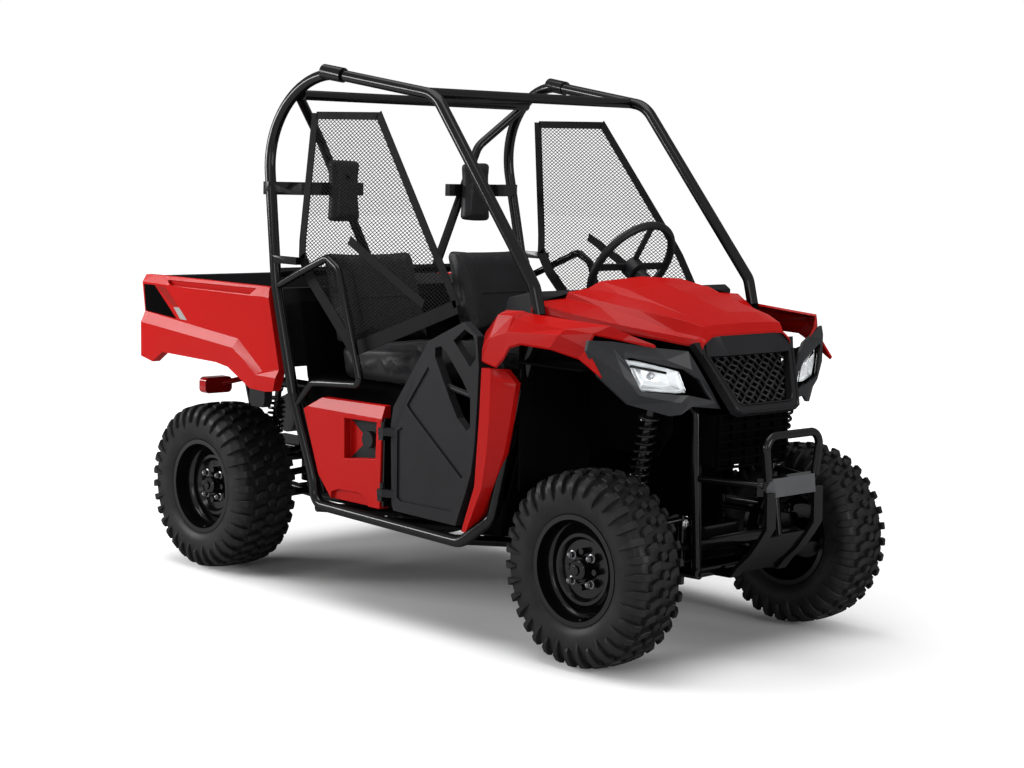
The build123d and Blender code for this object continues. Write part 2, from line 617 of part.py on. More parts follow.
# ---------------------------------------------------------------- wheel arch liners
with BuildPart() as liners_half:
    plate([(-545, -668), (-244, -668), (-244, -660), (-545, -660)], Plane.XY.offset(500), 401)
    side_plate([(-668, 620), (-668, 901), (-1015, 901), (-1015, 700), (-960, 620)], -1, 250, 6)
    plate([(-575, -945), (-250, -945), (-250, -660), (-575, -660)], Plane.XY.offset(895), 6)
    add(frame.part, mode=Mode.SUBTRACT)
with BuildPart() as wheel_liners:
    add(liners_half.part)
    mirror(liners_half.part, about=Plane.YZ)
write(wheel_liners, "wheel_liners")

# ---------------------------------------------------------------- suspension
ARM_TUBE = 12
FRONT_LOWER_Z = 232
FRONT_UPPER_Z = 392
REAR_CARRIER_X = 372
BALL_PIN_RADIUS = 10
BALL_EYE_RADIUS = 18
BALL_EYE_HEIGHT = 24

with BuildPart() as arms_half:
    for dy in (-PIVOT_POST_OFFSET, PIVOT_POST_OFFSET):
        tube([(-RAIL_X, FRONT_AXLE_Y + dy, 268), (-KINGPIN_X, FRONT_AXLE_Y, FRONT_LOWER_Z)],
             ARM_TUBE)
        tube([(-RAIL_X, FRONT_AXLE_Y + dy, 432), (-KINGPIN_X, FRONT_AXLE_Y, FRONT_UPPER_Z)],
             ARM_TUBE - 2)
        tube([(-180, REAR_AXLE_Y + dy, 262),
              (-REAR_CARRIER_X, REAR_AXLE_Y + dy * 0.3, 236)], ARM_TUBE)
        tube([(-185, REAR_AXLE_Y + dy, 432),
              (-REAR_CARRIER_X, REAR_AXLE_Y + dy * 0.3, 382)], ARM_TUBE - 2)
    side_plate([(REAR_AXLE_Y - 50, 225), (REAR_AXLE_Y + 50, 225), (REAR_AXLE_Y + 40, 395),
                (REAR_AXLE_Y - 40, 395)], -1, REAR_CARRIER_X + 30, 34)
    tube([(-REAR_CARRIER_X - 28, REAR_AXLE_Y, AXLE_Z), (-REAR_WHEEL_X - 44, REAR_AXLE_Y, AXLE_Z)],
         SPINDLE_RADIUS)
    for z in (FRONT_LOWER_Z, FRONT_UPPER_Z):
        with Locations((-KINGPIN_X, FRONT_AXLE_Y, z)):
            Cylinder(BALL_EYE_RADIUS, BALL_EYE_HEIGHT)
    with Locations((-KINGPIN_X, FRONT_AXLE_Y, AXLE_Z)):
        Cylinder(BALL_PIN_RADIUS + 0.05, 2 * AXLE_Z, mode=Mode.SUBTRACT)
    for z in (FRONT_LOWER_Z, FRONT_UPPER_Z):
        for overhang in (-1, 1):
            with Locations((-KINGPIN_X, FRONT_AXLE_Y, z + overhang * BALL_EYE_HEIGHT)):
                Cylinder(BALL_EYE_RADIUS + 4, BALL_EYE_HEIGHT, mode=Mode.SUBTRACT)
    add(frame.part, mode=Mode.SUBTRACT)
with BuildPart() as suspension_arms:
    add(arms_half.part)
    mirror(arms_half.part, about=Plane.YZ)
write(suspension_arms, "suspension_arms")


def damper(top, foot):
    """Add a coil-over damper between two eyes."""
    axis = Vector(foot) - Vector(top)
    along = Plane(origin=top, z_dir=axis)
    for start, end, radius in ((0, 1.0, 9), (0.10, 0.62, 28), (0.62, 0.88, 18)):
        with BuildSketch(along.offset(start * axis.length), mode=Mode.PRIVATE) as ring:
            Circle(radius)
        extrude(ring.sketch, amount=(end - start) * axis.length)


with BuildPart() as dampers:
    for side in (-1, 1):
        damper((side * DAMPER_TOP[0], DAMPER_TOP[1], DAMPER_TOP[2]),
               (side * 335, FRONT_AXLE_Y + 38, 268))
        damper((side * BEARER_X, REAR_AXLE_Y - 48, 648), (side * 340, REAR_AXLE_Y - 42, 262))
    add(suspension_arms.part, mode=Mode.SUBTRACT)
    add(frame.part, mode=Mode.SUBTRACT)
write(dampers, "dampers")

with BuildPart() as drive_shafts:
    for side in (-1, 1):
        tube([(side * 110, REAR_AXLE_Y, 322), (side * (REAR_CARRIER_X - 6), REAR_AXLE_Y,
                                               AXLE_Z + 2)], 13)
        tube([(side * 110, FRONT_AXLE_Y, 320), (side * (KINGPIN_X - 40), FRONT_AXLE_Y,
                                                AXLE_Z + 2)], 12)
    for y, bottom in ((REAR_AXLE_Y, 272), (FRONT_AXLE_Y, 286)):
        with BuildSketch(Plane.XY.offset(bottom)):
            with Locations((0, y)):
                RectangleRounded(230, 150, 40)
        extrude(amount=105)
write(drive_shafts, "drive_shafts")


TIE_ROD_Y = FRONT_AXLE_Y - 122
TIE_ROD_Z = 350
TIE_ROD_RADIUS = 9
TIE_ROD_INNER_X = 318
TIE_ROD_OUTER_X = 395
KINGPIN_FOOT = 218
KINGPIN_LENGTH = 188


def knuckle(name, side):
    """A steering knuckle: upright between the ball joints, spindle and steering arm."""
    with BuildPart() as upright:
        side_plate([(FRONT_AXLE_Y - 20, 256), (FRONT_AXLE_Y + 20, 256), (FRONT_AXLE_Y + 34, 302),
                    (FRONT_AXLE_Y + 20, 372), (FRONT_AXLE_Y - 20, 372), (FRONT_AXLE_Y - 34, 302)],
                   side, KINGPIN_X + 24, 38)
        with Locations((side * KINGPIN_X, FRONT_AXLE_Y, KINGPIN_FOOT)):
            Cylinder(BALL_PIN_RADIUS, KINGPIN_LENGTH, align=(Align.CENTER, Align.CENTER, Align.MIN))
        tube([(side * (KINGPIN_X + 20), FRONT_AXLE_Y, AXLE_Z),
              (side * (KINGPIN_X + 100), FRONT_AXLE_Y, AXLE_Z)], SPINDLE_RADIUS)
        plate([(side * (KINGPIN_X - 12), FRONT_AXLE_Y - 30),
               (side * (KINGPIN_X + 20), FRONT_AXLE_Y - 30),
               (side * (KINGPIN_X - 6), FRONT_AXLE_Y - 132),
               (side * (KINGPIN_X - 28), FRONT_AXLE_Y - 132)], Plane.XY.offset(316), 14)
        tube([(side * (KINGPIN_X - 17), TIE_ROD_Y, 322), (side * (KINGPIN_X - 17), TIE_ROD_Y, 356)], 7)
        tube([(side * (KINGPIN_X - 10), TIE_ROD_Y, TIE_ROD_Z),
              (side * TIE_ROD_OUTER_X, TIE_ROD_Y, TIE_ROD_Z)], TIE_ROD_RADIUS)
    write(upright, name)


for side, hand in ((-1, "right"), (1, "left")):
    knuckle(f"knuckle_{hand}", side)

with BuildPart() as steering_rack:
    tube([(-180, TIE_ROD_Y, TIE_ROD_Z), (180, TIE_ROD_Y, TIE_ROD_Z)], 20)
    tube([(-TIE_ROD_INNER_X, TIE_ROD_Y, TIE_ROD_Z), (TIE_ROD_INNER_X, TIE_ROD_Y, TIE_ROD_Z)],
         TIE_ROD_RADIUS)
    add(frame.part, mode=Mode.SUBTRACT)
write(steering_rack, "steering_rack")

# ---------------------------------------------------------------- engine and exhaust
with BuildPart() as engine_block:
    with BuildSketch(Plane.XY.offset(RAIL_Z + FRAME_TUBE)):
        with Locations((0, 300)):
            Rectangle(340, 420)
    extrude(amount=350)
write(engine_block, "engine_block")

with BuildPart() as exhaust_muffler:
    tube([(-140, 1030, 520), (140, 1030, 520)], 70)
    plate([(1035, 585), (1065, 580), (1070, 700), (1050, 700)], Plane.YZ.offset(-6), 12)
    add(frame.part, mode=Mode.SUBTRACT)
write(exhaust_muffler, "exhaust_muffler")

# ---------------------------------------------------------------- seats
SEAT_WIDTH = 380
CUSHION_LINE = [(-150, 800), (-140, 749), (300, 749), (325, 858), (200, 866), (-100, 890)]
HEADREST_X = 313
HEADREST_WIDTH = 134
HEADREST_LINE = [(470, 1265), (519, 1265), (519, 1490), (478, 1490)]
BACK_LINE = [(255, 868), (345, 1130), (370, 1172), (415, 1172), (425, 1150), (335, 862)]

with BuildPart() as seat_cushions:
    for side in (-1, 1):
        plate(CUSHION_LINE, Plane.YZ.offset(side * SEAT_X - SEAT_WIDTH / 2), SEAT_WIDTH)
write(seat_cushions, "seat_cushions")

with BuildPart() as seat_backs:
    for side in (-1, 1):
        plate(BACK_LINE, Plane.YZ.offset(side * SEAT_X - SEAT_WIDTH / 2), SEAT_WIDTH)
write(seat_backs, "seat_backs")

with BuildPart() as headrests:
    for side in (-1, 1):
        plate(HEADREST_LINE, Plane.YZ.offset(side * HEADREST_X - HEADREST_WIDTH / 2), HEADREST_WIDTH)
write(headrests, "headrests")

# ---------------------------------------------------------------- side panels under the seats
SILL_PANEL = [(336, 648), (250, 694), (-76, 700), (-72, 362), (179, 361), (251, 435)]
SILL_CHAMFER = [(586, 701), (600, 657), (610, 657), (610, 701)]
FILLER_RECESS = [(117, 640), (-49, 644), (-46, 524), (113, 506)]
FILLER_CAP = (5, 580)
STEP_RECESS = [(179, 385), (141, 398), (26, 400), (-13, 372), (-13, 355), (179, 355)]

with BuildPart() as under_seat_panels:
    for side in (-1, 1):
        side_plate(SILL_PANEL, side, SIDE_X, 38)
        side_plate(STEP_RECESS, side, SIDE_X, 12, Mode.SUBTRACT)
        plate([(side * x, z) for x, z in SILL_CHAMFER], cross_plane(340), 420, Mode.SUBTRACT)
    side_plate(FILLER_RECESS, -1, SIDE_X, 28, Mode.SUBTRACT)
    with BuildSketch(Plane.YZ.offset(-SIDE_X + 28)):
        with Locations(FILLER_CAP):
            Circle(28)
    extrude(amount=-22)
write(under_seat_panels, "under_seat_panels")

# ---------------------------------------------------------------- side nets
NET_TOP_Z = 1640
NET_TOP_X = 524
NET_LOW_X = 566
NET_LEAN = 0.098
NET_SHEET = 4
NET_UPPER = [(405, 1640), (60, 1640), (-289, 1210), (414, 1210)]
NET_LOWER = [(414, 1214), (-286, 1214), (-317, 1175), (-385, 1055), (103, 862), (366, 1086),
             (415, 1140)]

net_plane = Plane(origin=(-NET_TOP_X, 0, NET_TOP_Z), x_dir=(0, 1, 0), z_dir=(1, 0, -NET_LEAN))
with BuildPart() as net_right:
    plate([(y, (z - NET_TOP_Z) * math.hypot(1, NET_LEAN)) for y, z in NET_UPPER], net_plane,
          NET_SHEET)
    side_plate(NET_LOWER, -1, NET_LOW_X, NET_SHEET)
with BuildPart() as side_nets:
    add(net_right.part)
    mirror(net_right.part, about=Plane.YZ)
write(side_nets, "side_nets")

# ---------------------------------------------------------------- doors
DOOR_OUTLINE = [(-461, 1005), (-299, 931), (-136, 705), (-125, 644), (-137, 386), (-147, 369),
                (-444, 365), (-459, 405), (-487, 473), (-510, 540), (-523, 628), (-531, 772),
                (-534, 875), (-523, 965)]
DOOR_RECESSES = [
    [(-300, 851), (-201, 719), (-218, 702), (-466, 517), (-489, 533), (-488, 617), (-404, 672),
     (-334, 809)],
    [(-179, 644), (-157, 630), (-161, 414), (-178, 404), (-422, 407), (-435, 418), (-455, 456),
     (-450, 467), (-193, 640)],
]
LATCH_SLOT = [(-331, 913), (-357, 921), (-383, 906), (-459, 827), (-499, 774), (-502, 682),
              (-486, 669), (-442, 704), (-406, 758), (-332, 884)]
GRAB_SLOT = [(-416, 944), (-466, 982), (-505, 966), (-518, 940), (-520, 897), (-495, 868)]
LATCH_ROD = [(585, -372, 796), (585, -505, 774)]
LATCH_RADIUS = 9
DOOR_THICKNESS = 30
RECESS_DEPTH = 6
HINGE_RADIUS = 8
HINGE_ZS = (410, 610)


def door(name, side):
    """A half door with stepped fields, a grab slot, a latch rod in its slot and hinge leaves."""
    with BuildPart() as leaf:
        side_plate(DOOR_OUTLINE, side, SIDE_X + 4, DOOR_THICKNESS)
        for recess in DOOR_RECESSES:
            side_plate(recess, side, SIDE_X + 4, RECESS_DEPTH, Mode.SUBTRACT)
        for slot in (LATCH_SLOT, GRAB_SLOT):
            side_plate(slot, side, SIDE_X + 4, DOOR_THICKNESS, Mode.SUBTRACT)
        tube(sided(LATCH_ROD, side), LATCH_RADIUS)
        for z in HINGE_ZS:
            plate([(side * (SIDE_X - 20), -150), (side * (SIDE_X + 4), -150),
                   (side * (DOOR_HINGE_X + 12), DOOR_HINGE_Y - 12),
                   (side * (DOOR_HINGE_X + 12), DOOR_HINGE_Y + 12),
                   (side * (DOOR_HINGE_X - 12), DOOR_HINGE_Y + 12),
                   (side * (DOOR_HINGE_X - 14), -122)], Plane.XY.offset(z), 24)
            with Locations((side * DOOR_HINGE_X, DOOR_HINGE_Y, z + 12)):
                Cylinder(HINGE_RADIUS + 0.1, 40, mode=Mode.SUBTRACT)
    write(leaf, name)


for side, hand in ((-1, "right"), (1, "left")):
    door(f"door_{hand}", side)

with BuildPart() as door_hinges:
    for side in (-1, 1):
        for z in HINGE_ZS:
            with Locations((side * DOOR_HINGE_X, DOOR_HINGE_Y, z - 16)):
                Cylinder(HINGE_RADIUS, 60, align=(Align.CENTER, Align.CENTER, Align.MIN))
            plate([(side * (DOOR_HINGE_X + 11), DOOR_HINGE_Y - 11),
                   (side * (DOOR_HINGE_X + 11), DOOR_HINGE_Y + 11),
                   (side * (SIDE_X - 6), -76), (side * (SIDE_X - 30), -76),
                   (side * (SIDE_X - 30), -84),
                   (side * (DOOR_HINGE_X - 11), DOOR_HINGE_Y - 11)],
                  Plane.XY.offset(z - 16), 15)
        plate([(side * (SIDE_X - 6), -76), (side * (SIDE_X - 6), -84), (side * (SIDE_X - 40), -84),
               (side * (SIDE_X - 40), -76)], Plane.XY.offset(370), 290)
write(door_hinges, "door_hinges")

# ---------------------------------------------------------------- cargo bed
BED_WALL = 24
# Each row runs down the outside: top edge, chamfer, upper and lower edge of the sloping band,
# and bottom edge. All rows share the distances out from the middle in BED_SIDE_XS.
BED_SIDE_XS = (600, 611, 602, 613, 607)
BED_SIDE_ROWS = [
    [(1285, 1042), (1294, 1014), (1289, 906), (1300, 865), (1307, 738)],
    [(1231, 1043), (1231, 1014), (1231, 901), (1231, 860), (1231, 723)],
    [(1168, 1043), (1160, 1013), (1168, 895), (1168, 855), (1168, 764)],
    [(984, 1044), (984, 1010), (984, 878), (984, 842), (984, 760)],
    [(835, 1044), (835, 1008), (835, 864), (835, 829), (835, 758)],
    [(710, 1044), (710, 1008), (710, 853), (727, 819), (762, 748)],
    [(632, 1045), (632, 1009), (632, 800), (655, 780), (632, 686)],
    [(567, 1045), (567, 1011), (567, 752), (591, 737), (541, 683)],
    [(534, 1044), (524, 1008), (472, 765), (478, 736), (499, 688)],
]
RAIL_RECESS = [(1141, 1030), (604, 1036), (635, 1013), (1117, 1012)]
RAIL_RECESS_X = (596, 620)

BED_LEG = [(584, 788), (682, 788), (676, 640), (665, 619), (600, 619), (590, 640)]
BED_LEG_DEPTH = 34

with BuildPart() as cargo_bed:
    with BuildSketch(Plane.XY.offset(BED_FLOOR_Z - BED_WALL)):
        with Locations((0, (BED_FRONT_Y + TAILGATE_Y) / 2)):
            Rectangle(2 * BED_HALF_WIDTH, TAILGATE_Y - BED_FRONT_Y)
    extrude(amount=BED_TOP_Z - BED_FLOOR_Z + BED_WALL)
    with BuildSketch(Plane.XY.offset(BED_FLOOR_Z)):
        with Locations((0, (BED_FRONT_Y + BED_WALL + TAILGATE_Y + 10) / 2)):
            Rectangle(2 * (BED_HALF_WIDTH - BED_WALL), TAILGATE_Y - BED_FRONT_Y - BED_WALL + 10)
    extrude(amount=BED_TOP_Z, mode=Mode.SUBTRACT)
    for side in (-1, 1):
        plate([(BED_FRONT_Y + 20, BED_FLOOR_Z - BED_WALL), (TILT_PIVOT_Y + 60, BED_FLOOR_Z - BED_WALL),
               (TILT_PIVOT_Y + 26, TILT_PIVOT_Z - 26), (TILT_PIVOT_Y - 26, TILT_PIVOT_Z - 26),
               (TILT_PIVOT_Y - 60, 740), (BED_FRONT_Y + 20, 740)],
              Plane.YZ.offset(side * 262 - 9), 18)
        with Locations(Plane(origin=(side * 262, TILT_PIVOT_Y, TILT_PIVOT_Z), z_dir=(1, 0, 0))):
            Cylinder(FRAME_TUBE + 0.1, 60, mode=Mode.SUBTRACT)
        side_plate(BED_LEG, side, BED_HALF_WIDTH - 1, BED_LEG_DEPTH)
write(cargo_bed, "cargo_bed")

TAILGATE_HALF = BED_HALF_WIDTH - 7
TAILGATE_FRONT_Y = TAILGATE_Y + 8
TAILGATE_BOTTOM = BED_FLOOR_Z - BED_WALL + 8
TAILGATE_PIN = (TAILGATE_FRONT_Y + 15, TAILGATE_BOTTOM + 14)
PIN_RADIUS = 6

with BuildPart() as bed_sides:
    for side in (-1, 1):
        front = [[(side * x, y, z) for x, (y, z) in zip(BED_SIDE_XS, row)] for row in BED_SIDE_ROWS]
        back = [[(side * BED_HALF_WIDTH, y, z) for y, z in row] for row in BED_SIDE_ROWS]
        faceted_body(front, back)
        side_plate(RAIL_RECESS, side, RAIL_RECESS_X[1], RAIL_RECESS_X[1] - RAIL_RECESS_X[0],
                   Mode.SUBTRACT)
    with Locations(Plane(origin=(0, *TAILGATE_PIN), z_dir=(1, 0, 0))):
        Cylinder(PIN_RADIUS + 0.05, 2 * BED_HALF_WIDTH + 40, mode=Mode.SUBTRACT)
write(bed_sides, "bed_sides")

with BuildPart() as tailgate:
    with BuildSketch(Plane.YZ.offset(-TAILGATE_HALF)):
        with BuildLine():
            Polyline((TAILGATE_FRONT_Y, TAILGATE_BOTTOM), (TAILGATE_FRONT_Y + 30, TAILGATE_BOTTOM),
                     (TAILGATE_FRONT_Y + 30, BED_TOP_Z - 4), (TAILGATE_FRONT_Y, BED_TOP_Z - 4),
                     close=True)
        make_face()
        fillet(vertices().group_by(Axis.Y)[0], 12)
    extrude(amount=2 * TAILGATE_HALF)
    with Locations(Plane(origin=(0, *TAILGATE_PIN), z_dir=(1, 0, 0))):
        Cylinder(PIN_RADIUS, 2 * TAILGATE_HALF + 28)
write(tailgate, "tailgate")

# ---------------------------------------------------------------- rear fittings
RECEIVER_Z = 373
RECEIVER_OUTER = 64
RECEIVER_BORE = 51
PIN_BORE_RADIUS = 8
PIN_BORE_Y = 1228
RECEIVER_FRONT_Y = 1090
RECEIVER_LENGTH = 170

with BuildPart() as hitch_receiver:
    with BuildSketch(cross_plane(RECEIVER_FRONT_Y)):
        with Locations((0, RECEIVER_Z)):
            Rectangle(RECEIVER_OUTER, RECEIVER_OUTER)
            Rectangle(RECEIVER_BORE, RECEIVER_BORE, mode=Mode.SUBTRACT)
    extrude(amount=-RECEIVER_LENGTH)
    for side in (-1, 1):
        plate([(side * 32, 1100), (side * 178, 1150), (side * 178, 1200), (side * 32, 1180)],
              Plane.XY.offset(RECEIVER_Z - 32), 10)
    with Locations(Plane(origin=(0, PIN_BORE_Y, RECEIVER_Z), z_dir=(1, 0, 0))):
        Cylinder(PIN_BORE_RADIUS, RECEIVER_OUTER + 20, mode=Mode.SUBTRACT)
    add(frame.part, mode=Mode.SUBTRACT)
write(hitch_receiver, "hitch_receiver")

with BuildPart() as tail_lamps:
    for side in (-1, 1):
        with BuildSketch(cross_plane(1110)):
            with Locations((side * 395, 636)):
                RectangleRounded(120, 60, 18)
        extrude(amount=-40)
        tube([(side * BEARER_X, TILT_PIVOT_Y - 10, 666), (side * 380, 1120, 640)], 10)
    add(frame.part, mode=Mode.SUBTRACT)
write(tail_lamps, "tail_lamps")
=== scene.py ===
import bpy
import bmesh
import json
import math
from mathutils import Matrix, Vector
from mathutils.bvhtree import BVHTree


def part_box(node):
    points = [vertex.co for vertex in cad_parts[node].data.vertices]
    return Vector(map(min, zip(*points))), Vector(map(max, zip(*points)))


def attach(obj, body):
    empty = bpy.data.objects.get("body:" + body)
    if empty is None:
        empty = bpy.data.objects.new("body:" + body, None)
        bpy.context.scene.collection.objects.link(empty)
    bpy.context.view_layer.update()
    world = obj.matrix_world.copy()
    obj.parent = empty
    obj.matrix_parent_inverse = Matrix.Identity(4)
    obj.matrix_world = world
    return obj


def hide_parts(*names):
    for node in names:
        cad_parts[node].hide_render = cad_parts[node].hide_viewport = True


# A two-seat side-by-side utility vehicle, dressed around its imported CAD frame.
# Metres, +Z up, front towards -Y, +X to the vehicle's left. "side" is +1 left, -1 right.
# Outlines given in millimetres repeat the CAD's own numbers and are scaled by MM.

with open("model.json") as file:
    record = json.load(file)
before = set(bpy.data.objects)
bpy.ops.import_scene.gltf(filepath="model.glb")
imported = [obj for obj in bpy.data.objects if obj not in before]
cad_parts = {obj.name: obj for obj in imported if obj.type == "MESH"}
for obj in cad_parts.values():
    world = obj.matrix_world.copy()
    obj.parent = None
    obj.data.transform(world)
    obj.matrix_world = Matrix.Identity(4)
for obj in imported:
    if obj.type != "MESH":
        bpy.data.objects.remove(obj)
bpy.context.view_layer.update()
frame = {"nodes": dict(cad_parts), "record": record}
nodes = frame["nodes"]
MM = 0.001

# ------------------------------------------------------------------ camera
# Fitted to the photo's wheel circles and to the cage's mirrored pairs of points.
CAMERA_AT = (-4.7899, -5.0465, 1.5331)
CAMERA_YAW = math.radians(44.4432)
CAMERA_PITCH = math.radians(-6.4682)
CAMERA_ROLL = math.radians(1.6336)
CAMERA_SENSOR = 36.0
CAMERA_LENS = 71.08
CAMERA_SHIFT = (-0.02174, -0.00344)


def make_camera():
    data = bpy.data.cameras.new("camera")
    data.sensor_width = CAMERA_SENSOR
    data.lens = CAMERA_LENS
    data.shift_x, data.shift_y = CAMERA_SHIFT
    data.clip_end = 60.0
    camera = bpy.data.objects.new("camera", data)
    bpy.context.scene.collection.objects.link(camera)
    ahead = Vector((math.sin(CAMERA_YAW) * math.cos(CAMERA_PITCH),
                    math.cos(CAMERA_YAW) * math.cos(CAMERA_PITCH), math.sin(CAMERA_PITCH)))
    right = ahead.cross(Vector((0, 0, 1))).normalized()
    up = right.cross(ahead)
    tilted_right = right * math.cos(CAMERA_ROLL) + up * math.sin(CAMERA_ROLL)
    tilted_up = up * math.cos(CAMERA_ROLL) - right * math.sin(CAMERA_ROLL)
    turn = Matrix((tilted_right, tilted_up, -ahead)).transposed()
    camera.matrix_world = Matrix.Translation(CAMERA_AT) @ turn.to_4x4()
    bpy.context.scene.camera = camera


make_camera()

# ------------------------------------------------------------------ materials


class Nodes:
    """A short way to write the node tree of a material or a world."""

    def __init__(self, owner, output):
        owner.use_nodes = True
        self.tree = owner.node_tree
        self.tree.nodes.clear()
        self.output = self.tree.nodes.new(output)

    def node(self, kind, links=None, **values):
        made = self.tree.nodes.new(kind)
        for key, value in values.items():
            if hasattr(made, key):
                setattr(made, key, value)
            else:
                made.inputs[key.replace("_", " ")].default_value = value
        for key, source in (links or {}).items():
            self.tree.links.new(source, made.inputs[key])
        return made

    def link(self, source, target):
        self.tree.links.new(source, target)


def ramp(shader, source, stops):
    """A colour ramp with (position, grey or colour) stops."""
    made = shader.node("ShaderNodeValToRGB", {0: source})
    elements = made.color_ramp.elements
    while len(elements) > len(stops):
        elements.remove(elements[-1])
    while len(elements) < len(stops):
        elements.new(1.0)
    for element, (position, value) in zip(elements, stops):
        element.position = position
        element.color = (value, value, value, 1) if not hasattr(value, "__len__") else (*value, 1)
    return made.outputs["Color"]


def new_material(name):
    material = bpy.data.materials.new(name)
    return material, Nodes(material, "ShaderNodeOutputMaterial")


COAT_IOR = 2.5


def surface(name, colour, roughness, grain, metallic=0.0, coat=0.0, coat_roughness=0.1,
            specular=0.0, shift=0.12, patch=3.0, bump=0.1, rough_shift=0.08, sheen=0.0,
            coat_ior=COAT_IOR):
    """A procedural finish: broad colour drift, roughness drift and a fine grain in relief.
    grain is the relief's size in metres, and bump its strength. shift is the colour drift's
    share of the colour, and patch its scale."""
    material, shader = new_material(name)
    place = shader.node("ShaderNodeTexCoord").outputs["Object"]
    broad = shader.node("ShaderNodeTexNoise", {"Vector": place}, Scale=patch, Detail=5.0,
                        Roughness=0.55).outputs[0]
    low = tuple(max(0.0, c * (1 - shift)) for c in colour)
    high = tuple(min(1.0, c * (1 + shift)) for c in colour)
    tint = ramp(shader, broad, [(0.3, low), (0.7, high)])
    rough = shader.node("ShaderNodeMapRange", {"Value": broad}, From_Min=0.3, From_Max=0.7,
                        To_Min=max(0.02, roughness - rough_shift),
                        To_Max=min(1.0, roughness + rough_shift)).outputs[0]
    body = shader.node("ShaderNodeBsdfPrincipled", {"Base Color": tint, "Roughness": rough},
                       Metallic=metallic, Coat_Weight=coat, Coat_Roughness=coat_roughness,
                       Coat_IOR=coat_ior, Specular_IOR_Level=specular, Sheen_Weight=sheen)
    fine = shader.node("ShaderNodeTexNoise", {"Vector": place}, Scale=1.0 / grain, Detail=2.0,
                       Roughness=0.6).outputs[0]
    relief = shader.node("ShaderNodeBump", {"Height": fine}, Strength=bump, Distance=grain * 0.5)
    shader.link(relief.outputs[0], body.inputs["Normal"])
    shader.link(body.outputs[0], shader.output.inputs["Surface"])
    return material


def clear_plastic(name):
    """A clear moulded sheet, faintly uneven."""
    material, shader = new_material(name)
    place = shader.node("ShaderNodeTexCoord").outputs["Object"]
    wave = shader.node("ShaderNodeTexNoise", {"Vector": place}, Scale=60.0, Detail=2.0).outputs[0]
    tint = ramp(shader, wave, [(0.3, (0.93, 0.95, 0.96)), (0.7, (0.97, 0.98, 0.99))])
    body = shader.node("ShaderNodeBsdfPrincipled", {"Base Color": tint}, Transmission_Weight=1.0,
                       Roughness=0.03, IOR=1.2)
    shader.link(body.outputs[0], shader.output.inputs["Surface"])
    return material


MATERIALS = {
    "red": surface("moulded_red", (0.38, 0.005, 0.004), 0.30, coat=0.05, coat_roughness=0.26,
                   shift=0.04, patch=2.0, grain=0.012, bump=0.02, rough_shift=0.04),
    "steel": surface("satin_black_steel", (0.004, 0.004, 0.0043), 0.30, coat=0.08,
                     coat_roughness=0.15, patch=6.0, grain=0.003, bump=0.05, shift=0.2),
    "wheel": surface("wheel_enamel", (0.004, 0.004, 0.0042), 0.34, coat=0.10, coat_roughness=0.16,
                     patch=9.0, grain=0.004, bump=0.05, shift=0.2),
    "tyre": surface("tyre_rubber", (0.018, 0.018, 0.019), 0.70, coat=0.04, coat_roughness=0.38,
                    patch=14.0, grain=0.004, bump=0.25, shift=0.25),
    "plastic": surface("grained_black_plastic", (0.014, 0.014, 0.0155), 0.48, coat=0.05,
                       coat_roughness=0.38, patch=5.0, grain=0.0016, bump=0.25, shift=0.12),
    "grey": surface("grained_grey_plastic", (0.022, 0.0225, 0.0245), 0.40, coat=0.06,
                    coat_roughness=0.32, patch=5.0, grain=0.0014, bump=0.15, shift=0.10),
    # Near black: the own colour of prints, buttons, lamp bars and housings, and painted shade on the
    # nodes and sheets in the body's hollows.
    "dark": surface("near_black_and_painted_shade", (0.003, 0.003, 0.0032), 0.6, patch=4.0, grain=0.002,
                    bump=0.2, shift=0.15),
    "vinyl": surface("seat_vinyl", (0.015, 0.015, 0.0165), 0.55, coat=0.05, coat_roughness=0.42,
                     patch=12.0, grain=0.0022, bump=0.45, shift=0.15, sheen=0.03),
    "net": surface("net_cord", (0.008, 0.008, 0.0085), 0.75, patch=30.0, grain=0.001, bump=0.4,
                   shift=0.3, specular=0.05),
    "damper": surface("spring_black", (0.008, 0.008, 0.0085), 0.32, coat=0.10, patch=20.0,
                      coat_roughness=0.2, grain=0.002, bump=0.05, shift=0.2),
    "engine": surface("cast_engine", (0.05, 0.05, 0.052), 0.55, metallic=0.6, patch=8.0, grain=0.003,
                      bump=0.3, shift=0.25, specular=0.5),
    "plate_grey": surface("bumper_plate_grey", (0.095, 0.097, 0.102), 0.42, coat=0.04,
                          coat_roughness=0.3, patch=8.0, grain=0.0014, bump=0.15, shift=0.08),
    "bright": surface("plated_steel", (0.55, 0.55, 0.56), 0.30, metallic=0.9, patch=30.0,
                      grain=0.002, bump=0.05, shift=0.15, specular=0.5),
    "reflector": surface("lamp_reflector", (0.86, 0.87, 0.88), 0.22, metallic=0.6, patch=20.0,
                         grain=0.004, bump=0.05, shift=0.08, specular=0.5),
    "nut": surface("dark_zinc", (0.10, 0.10, 0.105), 0.28, metallic=0.8, patch=30.0,
                   grain=0.002, bump=0.05, shift=0.2, specular=0.5),
    "decal_grey": surface("decal_grey", (0.30, 0.28, 0.27), 0.4, coat=0.05, patch=6.0,
                          shift=0.06, grain=0.01, bump=0.02),
    "decal_red": surface("decal_deep_red", (0.24, 0.012, 0.010), 0.4, coat=0.05, patch=6.0,
                         shift=0.06, grain=0.01, bump=0.02),
    "clear": clear_plastic("lamp_lens"),
    "redlens": surface("red_lens", (0.30, 0.004, 0.004), 0.12, coat=0.3, coat_roughness=0.06,
                       coat_ior=1.5, patch=20.0, shift=0.1, grain=0.006, bump=0.05),
}

